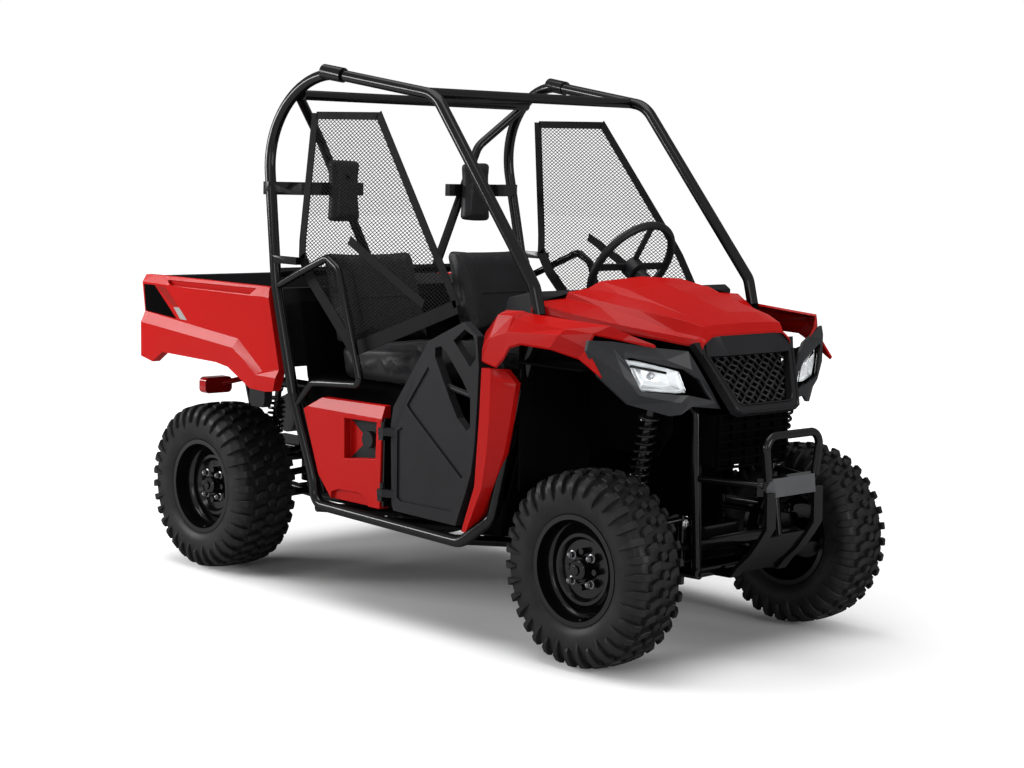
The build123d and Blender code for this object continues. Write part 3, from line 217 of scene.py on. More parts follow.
SLOT_LOOKS = {
    "painted_red": "red", "black_steel": "steel", "wheel_black": "wheel", "tyre_rubber": "tyre",
    "black_plastic": "plastic", "grey_plastic": "grey", "lamp_clear": "grey", "lamp_red": "redlens",
    "damper_steel": "damper", "engine_metal": "engine", "seat_vinyl": "vinyl", "net_fabric": "net",
}
for row in frame["record"]["subparts"]:
    node = nodes[row["node"]]
    node.data.materials.clear()
    node.data.materials.append(MATERIALS[SLOT_LOOKS[row["material_slot"]]])

# ------------------------------------------------------------------ stage and light
WHITE = (1, 1, 1, 1)
FLOOR_GREY = (0.62, 0.62, 0.62, 1)
FLOOR_HALF = 30.0
# Half sizes of the box under the vehicle where the floor's glow stays low: a painted shadow added to
# the lamps' own shadow.
PAINTED_SHADOW_HALF = (0.42, 0.98, 0)
NEAR_GLOW = {"From_Min": 0.0, "From_Max": 0.34, "To_Min": 0.01, "To_Max": 0.5}
FAR_GLOW = {"From_Min": 1.0, "From_Max": 5.0, "To_Min": 0.0, "To_Max": 0.5}
WORLD_FILL = 0.12
MIDDLE = (0, 0, 0.8)


def seen_directly(shader):
    """1 for rays from the camera, off a mirror or through clear plastic, and 0 for the rest."""
    rays = shader.node("ShaderNodeLightPath").outputs
    seen = shader.node("ShaderNodeMath", {0: rays["Is Camera Ray"], 1: rays["Is Glossy Ray"]},
                       operation="MAXIMUM").outputs[0]
    return shader.node("ShaderNodeMath", {0: seen, 1: rays["Is Transmission Ray"]},
                       operation="MAXIMUM").outputs[0]


def make_stage():
    """A white floor that keeps the lamps' shadow. It glows towards white away from the vehicle, and
    its glow is held low in a box round the vehicle's footprint, which paints a shadow under it.
    """
    material, shader = new_material("floor_white")
    place = shader.node("ShaderNodeTexCoord").outputs["Object"]
    spread = shader.node("ShaderNodeVectorMath", {0: place}, operation="ABSOLUTE").outputs[0]
    past = shader.node("ShaderNodeVectorMath", {0: spread}, operation="SUBTRACT")
    past.inputs[1].default_value = PAINTED_SHADOW_HALF
    beyond = shader.node("ShaderNodeVectorMath", {0: past.outputs[0]}, operation="MAXIMUM")
    beyond.inputs[1].default_value = (0, 0, 0)
    reach = shader.node("ShaderNodeVectorMath", {0: beyond.outputs[0]},
                        operation="LENGTH").outputs["Value"]
    near = shader.node("ShaderNodeMapRange", {"Value": reach}, interpolation_type="SMOOTHSTEP",
                       **NEAR_GLOW).outputs[0]
    far = shader.node("ShaderNodeMapRange", {"Value": reach}, **FAR_GLOW).outputs[0]
    glow_share = shader.node("ShaderNodeMath", {0: near, 1: far}).outputs[0]
    matt = shader.node("ShaderNodeBsdfDiffuse", Color=FLOOR_GREY)
    share = shader.node("ShaderNodeMath", {0: seen_directly(shader), 1: glow_share},
                        operation="MULTIPLY")
    glow = shader.node("ShaderNodeEmission", {"Strength": share.outputs[0]}, Color=WHITE)
    total = shader.node("ShaderNodeAddShader", {0: matt.outputs[0], 1: glow.outputs[0]})
    shader.link(total.outputs[0], shader.output.inputs["Surface"])
    made = bmesh.new()
    made.faces.new([made.verts.new((x * FLOOR_HALF, y * FLOOR_HALF, 0))
                    for x, y in ((-1, -1), (1, -1), (1, 1), (-1, 1))])
    data = bpy.data.meshes.new("floor")
    made.to_mesh(data)
    made.free()
    data.materials.append(material)
    floor = bpy.data.objects.new("floor", data)
    bpy.context.scene.collection.objects.link(floor)


def make_world():
    """Full white where it is seen, and a low even fill where it lights the vehicle."""
    world = bpy.data.worlds.new("world")
    bpy.context.scene.world = world
    shader = Nodes(world, "ShaderNodeOutputWorld")
    fill = shader.node("ShaderNodeBackground", Color=WHITE, Strength=WORLD_FILL)
    white = shader.node("ShaderNodeBackground", Color=WHITE, Strength=1.0)
    mix = shader.node("ShaderNodeMixShader", {0: seen_directly(shader), 1: fill.outputs[0],
                                              2: white.outputs[0]})
    shader.link(mix.outputs[0], shader.output.inputs["Surface"])


def softbox(name, at, towards, size, power):
    data = bpy.data.lights.new(name, "AREA")
    data.shape = "RECTANGLE"
    data.size, data.size_y = size
    data.energy = power
    lamp = bpy.data.objects.new(name, data)
    lamp.location = at
    lamp.rotation_mode = "QUATERNION"
    lamp.rotation_quaternion = (Vector(towards) - Vector(at)).to_track_quat("-Z", "Y")
    bpy.context.scene.collection.objects.link(lamp)


make_stage()
make_world()
softbox("key_over", (-0.4, 0.6, 4.8), (0, 0, 0.4), (4.4, 3.4), 235)
softbox("fill_camera", (-6.0, -3.4, 2.6), MIDDLE, (3.0, 2.0), 75)
softbox("fill_front", (0.4, -6.0, 1.9), MIDDLE, (2.6, 1.6), 130)
softbox("fill_far", (5.5, 1.5, 2.6), MIDDLE, (3.0, 2.0), 28)
softbox("strip_rear", (-3.95, 4.4, 2.15), (-0.6, 0.3, 0.9), (3.0, 1.0), 330)
bpy.context.scene.view_settings.view_transform = "Standard"

# ------------------------------------------------------------------ shared makers
BODY_OF = {}
for body_name, members in frame["record"]["behaviour"]["bodies"].items():
    for member in members:
        BODY_OF[member] = body_name
SLOT_OF = {row["node"]: row["material_slot"] for row in frame["record"]["subparts"]}
WELD = 0.00002
CREASE = 28
FACET_CREASE = 6


def add_piece(name, made, node, look=None, replaces=True, sharp=35, extra=()):
    """Make a piece from a bmesh. It rides on the node's body, takes the look of the node's slot
    unless given a look, and, unless told otherwise, stands in for it. extra are more looks, by face
    material index."""
    mesh = bpy.data.meshes.new(name)
    made.normal_update()
    made.to_mesh(mesh)
    made.free()
    for key in (look or SLOT_LOOKS[SLOT_OF[node]], *extra):
        mesh.materials.append(MATERIALS[key])
    mesh.shade_smooth()
    mesh.set_sharp_from_angle(angle=math.radians(sharp))
    piece = bpy.data.objects.new(name, mesh)
    bpy.context.scene.collection.objects.link(piece)
    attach(piece, BODY_OF[node])
    if replaces:
        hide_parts(node)
    return piece


def round_edges(piece, width, segments=2, angle=CREASE):
    """Round a hard piece's edges as a moulding or a pressing has them."""
    bevel = piece.modifiers.new("edges", "BEVEL")
    bevel.width = width
    bevel.segments = segments
    bevel.limit_method = "ANGLE"
    bevel.angle_limit = math.radians(angle)
    bevel.harden_normals = True


def node_mesh(node, flat=0.8):
    """The node's mesh, welded, with the triangles of each flat face joined."""
    made = bmesh.new()
    made.from_mesh(nodes[node].data)
    bmesh.ops.remove_doubles(made, verts=made.verts, dist=WELD)
    bmesh.ops.dissolve_limit(made, angle_limit=math.radians(flat), verts=made.verts[:],
                             edges=made.edges[:], use_dissolve_boundaries=False)
    return made


def dress(node, edge, look=None, crease=CREASE, other=None, where=None):
    """Show a hard node with its edges rounded, from the crease angle up. Faces whose middle
    and normal pass the where test take the other look."""
    made = node_mesh(node)
    if other:
        made.normal_update()
        for face in made.faces:
            face.material_index = int(where(face.calc_center_median(), face.normal))
    piece = add_piece(f"{node}_finish", made, node, look, sharp=crease,
                      extra=(other,) if other else ())
    round_edges(piece, edge, angle=crease)


def skin(made, rings, look=0, ends=True):
    """Faces from each ring of vertices to the next and, with ends, over the first and last."""
    for one, two in zip(rings, rings[1:]):
        for i in range(len(one)):
            j = (i + 1) % len(one)
            made.faces.new((one[i], one[j], two[j], two[i])).material_index = look
    if ends:
        made.faces.new(list(reversed(rings[0]))).material_index = look
        made.faces.new(rings[-1]).material_index = look


def smooth_through(points, steps):
    """Catmull-Rom points through an open list of tuples, ends included."""
    out = []
    padded = [points[0], *points, points[-1]]
    for a, b, c, d in zip(padded, padded[1:], padded[2:], padded[3:]):
        for step in range(steps):
            t = step / steps
            out.append(tuple(0.5 * (2 * q + (r - p) * t + (2 * p - 5 * q + 4 * r - s) * t * t
                                    + (3 * q - p - 3 * r + s) * t ** 3)
                             for p, q, r, s in zip(a, b, c, d)))
    out.append(tuple(points[-1]))
    return out


# ------------------------------------------------------------------ tyres
LUG_COUNT = 34
LUG_DEPTH = 0.016
LUG_ROOT = 0.004
CROWN_FALL = 0.016
AROUND = 108


class Tyre:
    """A knobbly tyre in its own (across, radius, turn) terms, for one wheel's node."""

    def __init__(self, node):
        low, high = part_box(node)
        self.node = node
        self.middle = Vector([(a + b) / 2 for a, b in zip(low, high)])
        self.half = (high[0] - low[0]) / 2
        self.radius = (high[2] - low[2]) / 2
        self.made = bmesh.new()

    def crown(self, across):
        """The carcass radius under the lugs."""
        share = min(1.0, abs(across) / self.half)
        return self.radius - LUG_DEPTH - LUG_ROOT - CROWN_FALL * share ** 3

    def vertex(self, across, radius, turn):
        away = Vector((across, radius * math.sin(turn), -radius * math.cos(turn)))
        return self.made.verts.new(self.middle + away)

    def carcass(self):
        """The casing under the lugs, as one closed hollow section turned about the axle."""
        half, tip = self.half, self.radius
        side = [(0.0, self.crown(0)), (0.45 * half, self.crown(0.45 * half)),
                (0.78 * half, self.crown(0.78 * half)), (0.92 * half, tip - 0.046),
                (0.975 * half, tip - 0.078), (0.955 * half, tip - 0.103),
                (0.90 * half, tip - 0.121), (0.845 * half, tip - 0.131),
                (0.78 * half, tip - 0.1345)]
        line = smooth_through(side, 4)
        line = [(-u, r) for u, r in reversed(line[1:])] + line
        inner = [(0.70 * half, tip - 0.120), (0.84 * half, tip - 0.080), (0.66 * half, tip - 0.032)]
        line += inner + [(-u, r) for u, r in reversed(inner)]
        rings = [[self.vertex(u, r, 2 * math.pi * i / AROUND) for i in range(AROUND)]
                 for u, r in line]
        skin(self.made, [*rings, rings[0]], ends=False)

    def block(self, outline, turn, height):
        """A tread block of the (across, along) outline, standing on the crown."""
        centre_u = sum(u for u, a in outline) / len(outline)
        centre_a = sum(a for u, a in outline) / len(outline)
        rings = []
        for lift, spread in ((-LUG_ROOT, 1.12), (height - 0.002, 1.0), (height, 0.86)):
            ring = []
            for u, a in outline:
                across = centre_u + (u - centre_u) * spread
                along = centre_a + (a - centre_a) * spread
                ring.append(self.vertex(across, self.crown(across) + lift,
                                        turn + along / self.radius))
            rings.append(ring)
        skin(self.made, rings)

    def shoulder(self, hand, turn, reach):
        """A lug that rounds the shoulder and tapers down the side wall to reach. Its spine has
        the share of the half width, the base's radius, half the lug's width and its height."""
        half, tip = self.half, self.radius
        spine = [(0.66, self.crown(0.66 * half), 0.0110, LUG_DEPTH),
                 (0.80, self.crown(0.80 * half), 0.0125, LUG_DEPTH),
                 (0.90, tip - 0.040, 0.0120, 0.013), (0.965, tip - 0.056, 0.0095, 0.010),
                 (0.985, tip - 0.060 - 0.35 * reach, 0.0070, 0.0060),
                 (0.975, tip - 0.060 - reach, 0.0040, 0.0012)]
        normals = [(0.0, 1.0), (0.25, 0.97), (0.75, 0.66), (0.95, 0.30), (1.0, 0.0), (1.0, -0.05)]
        rings = []
        for (share, base, wide, high), (out, up) in zip(spine, normals):
            ring = []
            for sideways, lift in ((-1.12, -LUG_ROOT), (-1.0, high - 0.002), (-0.82, high),
                                   (0.82, high), (1.0, high - 0.002), (1.12, -LUG_ROOT)):
                ring.append(self.vertex(hand * (share * half + out * lift), base + up * lift,
                                        turn + sideways * wide / self.radius))
            rings.append(ring)
        skin(self.made, rings)

    def tread(self):
        pitch = 2 * math.pi / LUG_COUNT
        half = self.half
        for number in range(LUG_COUNT):
            turn = number * pitch
            for hand in (-1, 1):
                self.shoulder(hand, turn + 0.5 * pitch * (hand > 0), 0.012 + 0.016 * (number % 2))
                slant = 0.007 * hand
                near, far = 0.19 * half * hand, 0.55 * half * hand
                self.block([(near, -0.010 + slant), (0.5 * (near + far), -0.015),
                            (far, -0.011 - slant), (far, 0.010 - slant),
                            (0.6 * near + 0.4 * far, 0.007), (near, 0.012 + slant)],
                           turn + 0.5 * pitch * (hand < 0), LUG_DEPTH)
            self.block([(-0.12 * half, -0.004), (0.0, -0.015), (0.12 * half, -0.010),
                        (0.12 * half, 0.004), (0.0, 0.012), (-0.12 * half, 0.012)],
                       turn, LUG_DEPTH)

    def finish(self):
        self.carcass()
        self.tread()
        bmesh.ops.recalc_face_normals(self.made, faces=self.made.faces)
        return add_piece(f"{self.node}_knobbly", self.made, self.node, sharp=32)


for tyre_node in ("tyre_front_right", "tyre_front_left", "tyre_rear_right", "tyre_rear_left"):
    Tyre(tyre_node).finish()

# ------------------------------------------------------------------ side nets
# Lines are (y, z) points on the net, and each band's second value is its width.
NET_TOP_Z = 1.640
NET_KINK_Z = 1.210
NET_TOP_X = 0.524
NET_LEAN = 0.098
NET_CELL = (0.020, 0.0125)
NET_STRAND = 0.0039
NET_EDGE = [(0.405, 1.640), (0.060, 1.640), (-0.317, 1.175), (-0.385, 1.055),
            (0.103, 0.862), (0.366, 1.086), (0.415, 1.140)]
NET_MIDDLE = Vector((0, 0.05, 1.3))
WEB_THICK = 0.0022
WEB_STEP = 0.04
WEB_BANDS = [([(0.385, 1.632), (0.060, 1.632)], 0.026), ([(0.392, 1.640), (0.398, 1.150)], 0.034),
             ([(0.062, 1.640), (-0.300, 1.180), (-0.388, 1.045)], 0.030),
             ([(-0.388, 1.045), (-0.140, 0.955), (0.110, 0.868)], 0.046),
             ([(0.400, 1.160), (0.350, 1.085), (0.112, 0.862)], 0.044),
             ([(0.150, 1.225), (-0.230, 1.040)], 0.030)]


def net_x(z):
    """How far out the net hangs at a height: it leans in above the kink."""
    return NET_TOP_X + (NET_TOP_Z - max(z, NET_KINK_Z)) * NET_LEAN


def net_mesh(side):
    """Diamond mesh cut to the net's outline."""
    made = bmesh.new()
    wide, tall = NET_CELL
    lowest = (min(y for y, z in NET_EDGE), min(z for y, z in NET_EDGE))
    columns = int((max(y for y, z in NET_EDGE) - lowest[0]) / wide * 2) + 2
    rows = int((max(z for y, z in NET_EDGE) - lowest[1]) / tall * 2) + 2
    grid = {}

    def corner(i, j):
        if (i, j) not in grid:
            grid[i, j] = made.verts.new((0, lowest[0] + i * wide / 2, lowest[1] + j * tall / 2))
        return grid[i, j]

    for i in range(columns):
        for j in range(i % 2, rows, 2):
            made.faces.new((corner(i, j - 1), corner(i + 1, j), corner(i, j + 1), corner(i - 1, j)))
    for one, two in zip(NET_EDGE, NET_EDGE[1:] + NET_EDGE[:1]):
        outward = Vector((0, two[1] - one[1], one[0] - two[0]))
        if outward.dot(Vector((0, *one)) - NET_MIDDLE) < 0:
            outward = -outward
        bmesh.ops.bisect_plane(made, geom=made.verts[:] + made.edges[:] + made.faces[:],
                               plane_co=(0, *one), plane_no=outward, clear_outer=True, dist=1e-5)
    for vert in made.verts:
        vert.co.x = side * net_x(vert.co.z)
    return made


def webbing(made, line, width, side):
    """A flat strap along a (y, z) line in the net's surface, a little proud of it."""
    rings = []
    for i, (y, z) in enumerate(line):
        before, after = line[max(i - 1, 0)], line[min(i + 1, len(line) - 1)]
        run = Vector((after[0] - before[0], after[1] - before[1])).normalized()
        off = Vector((-run.y, run.x)) * width / 2
        ring = []
        for hand, lift in ((-1, WEB_THICK), (1, WEB_THICK), (1, -WEB_THICK), (-1, -WEB_THICK)):
            spot = (y + hand * off.x, z + hand * off.y)
            ring.append(made.verts.new((side * (net_x(spot[1]) + lift), *spot)))
        rings.append(ring)
    skin(made, rings)


def subdivided(line, step):
    """The line with points added so that no run is longer than step."""
    out = [line[0]]
    for one, two in zip(line, line[1:]):
        count = max(1, math.ceil(math.dist(one, two) / step))
        out += [tuple(a + (b - a) * k / count for a, b in zip(one, two)) for k in range(1, count + 1)]
    return out


def side_net(side, hand):
    net = add_piece(f"side_net_{hand}", net_mesh(side), "side_nets")
    strands = net.modifiers.new("strands", "WIREFRAME")
    strands.thickness = NET_STRAND
    strands.use_replace = True
    strands.use_even_offset = False
    bands = bmesh.new()
    for line, width in WEB_BANDS:
        webbing(bands, subdivided(line, WEB_STEP), width, side)
    bmesh.ops.recalc_face_normals(bands, faces=bands.faces)
    border = add_piece(f"net_webbing_{hand}", bands, "side_nets", replaces=False)
    round_edges(border, 0.0008, 1)


for side, hand in ((-1, "right"), (1, "left")):
    side_net(side, hand)

# ------------------------------------------------------------------ mouldings and pressings
# How far each node's edges are rounded.
EDGES = {
    "hood": 0.005, "front_fenders": 0.004, "front_side_panels": 0.005, "under_seat_panels": 0.005,
    "bed_sides": 0.004, "headlamp_bezels": 0.003, "nose_cover": 0.003, "door_right": 0.003,
    "door_left": 0.003, "front_bumper": 0.0025, "cargo_bed": 0.003, "tailgate": 0.003,
    "dashboard": 0.008, "floor_pan": 0.003, "hitch_receiver": 0.0015, "exhaust_muffler": 0.003,
    "steering_column": 0.002, "steering_rack": 0.002, "door_hinges": 0.0015, "tail_lamps": 0.003,
    "engine_block": 0.012, "wheel_liners": 0.002, "radiator_guard": 0.0015, "drive_shafts": 0.002,
    "suspension_arms": 0.002, "knuckle_right": 0.002, "knuckle_left": 0.002, "hip_guards": 0.001,
    "frame": 0.0015, "cage_right": 0.0015, "cage_left": 0.0015, "cage_bars": 0.0015,
}
FACETED = ("hood", "front_fenders", "front_side_panels", "under_seat_panels", "bed_sides",
           "headlamp_bezels", "nose_cover")
# Nodes drawn near-black instead of in their slot's look: painted shade for their place in the wheel
# wells, the nose and under the floor.
PAINTED_SHADE_NODES = ("wheel_liners", "radiator_guard", "floor_pan")

BUMPER_PLATE_Z = (0.527, 0.585)
BUMPER_FACE_Y = -1.28
FILLER_AT = Vector((0, 0.005, 0.580))
FILLER_RADIUS = 0.029


def on_bumper_plate(spot, normal):
    low, high = BUMPER_PLATE_Z
    return low < spot.z < high and spot.y < BUMPER_FACE_Y and normal.y < -0.5


def on_filler_cap(spot, normal):
    return spot.x < 0 and math.hypot(spot.y - FILLER_AT.y, spot.z - FILLER_AT.z) < FILLER_RADIUS


OTHER_LOOKS = {"front_bumper": ("plate_grey", on_bumper_plate),
               "under_seat_panels": ("plastic", on_filler_cap)}

for node, edge in EDGES.items():
    other, where = OTHER_LOOKS.get(node, (None, None))
    dress(node, edge, look="dark" if node in PAINTED_SHADE_NODES else None,
          crease=FACET_CREASE if node in FACETED else CREASE, other=other, where=where)


# ------------------------------------------------------------------ round parts
NUT_CHAMFER = 0.0015


class Round:
    """Turned and tubular bodies collected in one mesh."""

    def __init__(self):
        self.made = bmesh.new()

    def turned(self, at, axis, profile, count=48, look=0):
        """Revolve (along, radius) points about the axis through at."""
        along = Vector(axis).normalized()
        one = along.orthogonal().normalized()
        two = along.cross(one)
        rings = []
        for offset, radius in profile:
            ring = []
            for i in range(count):
                turn = 2 * math.pi * i / count
                spot = (Vector(at) + along * offset
                        + (one * math.cos(turn) + two * math.sin(turn)) * radius)
                ring.append(self.made.verts.new(spot))
            rings.append(ring)
        skin(self.made, rings, look)

    def rod(self, line, radius, count=12, look=0):
        """A round bar through the points, which turn smoothly."""
        points = [Vector(point) for point in line]
        heading = (points[1] - points[0]).normalized()
        side_way = heading.orthogonal().normalized()
        rings = []
        for i, point in enumerate(points):
            before, after = points[max(i - 1, 0)], points[min(i + 1, len(points) - 1)]
            heading = (after - before).normalized()
            side_way = (side_way - heading * side_way.dot(heading)).normalized()
            up_way = heading.cross(side_way)
            rings.append([self.made.verts.new(point + (side_way * math.cos(2 * math.pi * k / count)
                                                       + up_way * math.sin(2 * math.pi * k / count))
                                              * radius) for k in range(count)])
        skin(self.made, rings, look)

    def hexagon(self, at, axis, radius, length):
        """A bolt head or nut with its top edge eased."""
        self.turned(at, axis, [(0, radius), (length - NUT_CHAMFER, radius),
                               (length, radius - NUT_CHAMFER)], 6)

    def piece(self, name, node, look=None, replaces=True, sharp=32, extra=()):
        bmesh.ops.recalc_face_normals(self.made, faces=self.made.faces)
        return add_piece(name, self.made, node, look, replaces, sharp, extra)


# ------------------------------------------------------------------ wheels
NUT_CIRCLE = 0.055
NUT_DEPTH = {"front": 0.040, "rear": 0.060}
NUT_WASHER = [(0, 0.014), (0.003, 0.014), (0.005, 0.0105)]
NUT_SIZE = (0.0105, 0.013)
STUD_END = [(0, 0.0075), (0.004, 0.0068), (0.0065, 0.004), (0.0072, 0.0008)]
HUB_RISE = 0.016
HUB_CAP = [(0, 0.031), (0.006, 0.031), (0.010, 0.027), (0.012, 0.016), (0.018, 0.0145),
           (0.020, 0.008), (0.020, 0.001)]
VALVE = [(0, 0.0055), (0.010, 0.005), (0.012, 0.0042), (0.026, 0.0042), (0.028, 0.003)]
VALVE_TURN = math.radians(200)
VALVE_CIRCLE = 0.146
VALVE_DEPTH = 0.012


def rim(node, side, nut_depth):
    """The CAD wheel, and its nuts, hub cap and valve in their own metals."""
    add_piece(f"{node}_finish", node_mesh(node, 0.3), node, "wheel", sharp=22)
    low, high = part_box(node)
    middle = Vector([(a + b) / 2 for a, b in zip(low, high)])
    outer = high[0] if side > 0 else -low[0]
    axis = Vector((side, 0, 0))
    fittings = Round()

    def on_wheel(depth, radius=0.0, turn=0.0):
        return Vector((side * (outer - depth), middle.y + radius * math.sin(turn),
                       middle.z + radius * math.cos(turn)))

    for number in range(4):
        spot = on_wheel(nut_depth, NUT_CIRCLE, math.pi / 4 + number * math.pi / 2)
        fittings.turned(spot, axis, NUT_WASHER, 24)
        fittings.hexagon(spot + axis * 0.005, axis, *NUT_SIZE)
        fittings.turned(spot + axis * 0.017, axis, STUD_END, 20)
    fittings.turned(on_wheel(nut_depth - HUB_RISE), axis, HUB_CAP, 40, 1)
    fittings.turned(on_wheel(VALVE_DEPTH, VALVE_CIRCLE, VALVE_TURN), axis, VALVE, 18, 1)
    fittings.piece(f"{node}_fittings", node, "nut", replaces=False, extra=("wheel",))


for side, hand in ((-1, "right"), (1, "left")):
    for end, nut_depth in NUT_DEPTH.items():
        rim(f"rim_{end}_{hand}", side, nut_depth)

# ------------------------------------------------------------------ springs and dampers
DAMPER_ENDS = [((0.322, -1.000, 0.800), (0.335, -0.900, 0.268)),
               ((0.300, 0.868, 0.648), (0.340, 0.874, 0.262))]
SPRING_TURNS = 12
SPRING_STEPS = 20
SPRING_WIRE = 0.0048
SPRING_RADIUS = 0.028
SPRING_SHARES = (0.105, 0.65)
SPRING_SEAT = [(0, 0.020), (0.002, 0.033), (0.006, 0.033), (0.008, 0.022)]


def damper_at(parts, top, foot):
    """A shock absorber: rod, body, spring seats, coil spring, eyes and their pins."""
    top, foot = Vector(top), Vector(foot)
    axis = foot - top
    length = axis.length
    along = axis.normalized()
    one = along.orthogonal().normalized()
    two = along.cross(one)

    def at(share):
        return top + axis * share

    parts.turned(at(0.03), along, [(0, 0.012), (0.60 * length, 0.012)], 28)
    parts.turned(at(0.56), along, [(0, 0.0185), (0.004, 0.020), (0.30 * length, 0.020),
                                   (0.30 * length + 0.004, 0.0185)], 32)
    for share in (0.09, 0.66):
        parts.turned(at(share), along, SPRING_SEAT, 36)
    coil = []
    steps = SPRING_TURNS * SPRING_STEPS
    start, end = SPRING_SHARES
    for i in range(steps + 1):
        turn = 2 * math.pi * SPRING_TURNS * i / steps
        coil.append(at(start + (end - start) * i / steps)
                    + (one * math.cos(turn) + two * math.sin(turn)) * SPRING_RADIUS)
    parts.rod(coil, SPRING_WIRE, 10, 1)
    cross = along.cross(Vector((1, 0, 0))).normalized()
    for share in (0.012, 0.97):
        parts.turned(at(share) - cross * 0.012, cross, [(0, 0.013), (0.024, 0.013)], 28)
        parts.turned(at(share) - cross * 0.015, cross, [(0, 0.0065), (0.030, 0.0065)], 20, 2)


def dampers():
    """Both ends of the vehicle, both sides, in one piece."""
    parts = Round()
    for side in (-1, 1):
        for top, foot in DAMPER_ENDS:
            damper_at(parts, (side * top[0], *top[1:]), (side * foot[0], *foot[1:]))
    parts.piece("dampers_coils", "dampers", "damper", extra=("steel", "bright"))


dampers()

# ------------------------------------------------------------------ grille
# Outlines on the nose plane are (u, v) in millimetres, from the middle of its top edge.
NOSE_AT = Vector((0, -1.080, 0.977))
NOSE_OUT = Vector((0, -206, 108)).normalized()
NOSE_RIGHT = Vector((1, 0, 0))
NOSE_UP = NOSE_OUT.cross(NOSE_RIGHT)
NOSE_OPENING = [(190, -44), (186, -52), (126, -196), (112, -206), (-112, -206), (-126, -196),
                (-186, -52), (-190, -44)]
NOSE_RIM = [(236, 0), (218, -38), (152, -226), (128, -238), (-128, -238), (-152, -226),
            (-218, -38), (-236, 0)]
KNOT = (37, 30)
STRAND_COUNT = 33
STRAND_RADIUS = 0.0042
SHORTEST_STRAND = 0.6
WEAVE_DEPTH = 0.0024
GRILLE_DEPTH = -0.023
# Depths of the near-black sheet behind the weave, a painted shade.
GRILLE_SHADE_DEPTHS = (-0.0315, -0.0335)
LIP_BEND = 14
LIP_MIDDLE_V = -120
LIP_RISE = 0.0006


def on_nose(u, v, depth):
    """A point on the nose plane, u and v in millimetres, depth in metres outwards."""
    return NOSE_AT + NOSE_RIGHT * (u * MM) + NOSE_UP * (v * MM) + NOSE_OUT * depth


def clipped(start, run, outline):
    """The shares of a line's run at which it enters and leaves a convex outline."""
    enter, leave = -1e9, 1e9
    for one, two in zip(outline, outline[1:] + outline[:1]):
        edge = (two[0] - one[0], two[1] - one[1])
        gap = edge[0] * (start[1] - one[1]) - edge[1] * (start[0] - one[0])
        speed = edge[0] * run[1] - edge[1] * run[0]
        if abs(speed) < 1e-9:
            if gap > 0:
                return None
        elif speed > 0:
            leave = min(leave, -gap / speed)
        else:
            enter = max(enter, -gap / speed)
    return (enter, leave) if enter < leave else None


def strand(start, run, slope, number):
    """One strand's centre line inside the opening, over and under those that cross it."""
    ends = clipped(start, run, NOSE_OPENING)
    if not ends or ends[1] - ends[0] < SHORTEST_STRAND:
        return None
    line = []
    steps = max(4, math.ceil((ends[1] - ends[0]) * 5))
    for i in range(steps + 1):
        share = ends[0] + (ends[1] - ends[0]) * i / steps
        lift = slope * WEAVE_DEPTH * math.cos(math.pi * (share + number))
        line.append(on_nose(start[0] + run[0] * share, start[1] + run[1] * share,
                            GRILLE_DEPTH + lift))
    return line


def grille():
    """A woven lattice of round strands in front of a near-black sheet, painted shade for the hollow
    behind the grille.
    """
    parts = Round()
    middle_v = (NOSE_OPENING[0][1] + NOSE_OPENING[3][1]) / 2
    for slope in (-1, 1):
        run = (KNOT[0] / 2, slope * KNOT[1] / 2)
        for number in range(-(STRAND_COUNT // 2), STRAND_COUNT // 2 + 1):
            line = strand((number * KNOT[0], middle_v), run, slope, number)
            if line:
                parts.rod(line, STRAND_RADIUS, 10)
    # The near-black sheet behind the strands is painted shade.
    sheet = [[parts.made.verts.new(on_nose(u, v, depth)) for u, v in NOSE_OPENING]
             for depth in GRILLE_SHADE_DEPTHS]
    skin(parts.made, sheet, 1)
    parts.piece("grille_weave", "grille", "plastic", extra=("dark",))


def rounded(line, reach, steps=5):
    """The (u, v) line with each inner corner turned through a smooth curve."""
    out = [Vector(line[0])]
    for before, corner, after in zip(line, line[1:], line[2:]):
        before, corner, after = Vector(before), Vector(corner), Vector(after)
        first = corner + (before - corner).normalized() * min(reach, (before - corner).length / 2.1)
        last = corner + (after - corner).normalized() * min(reach, (after - corner).length / 2.1)
        for i in range(steps + 1):
            t = i / steps
            out.append(first * (1 - t) ** 2 + corner * 2 * t * (1 - t) + last * t * t)
    out.append(Vector(line[-1]))
    return out


def beads():
    """The two raised lips of the nose frame. The inner one is a closed loop, and the outer one
    stops at the bar's lower corners."""
    parts = Round()
    inner = NOSE_OPENING + NOSE_OPENING[:1]
    outer = NOSE_RIM[1:-1]
    for outline, inset, radius in ((inner, 5, 0.0034), (outer, -6, 0.0040)):
        loop = []
        for u, v in outline:
            away = Vector((u, v - LIP_MIDDLE_V)).normalized() * inset
            loop.append((u + away.x, v + away.y))
        parts.rod([on_nose(u, v, LIP_RISE) for u, v in rounded(loop, LIP_BEND)], radius, 10)
    parts.piece("nose_cover_lips", "nose_cover", "steel", replaces=False)


grille()
beads()

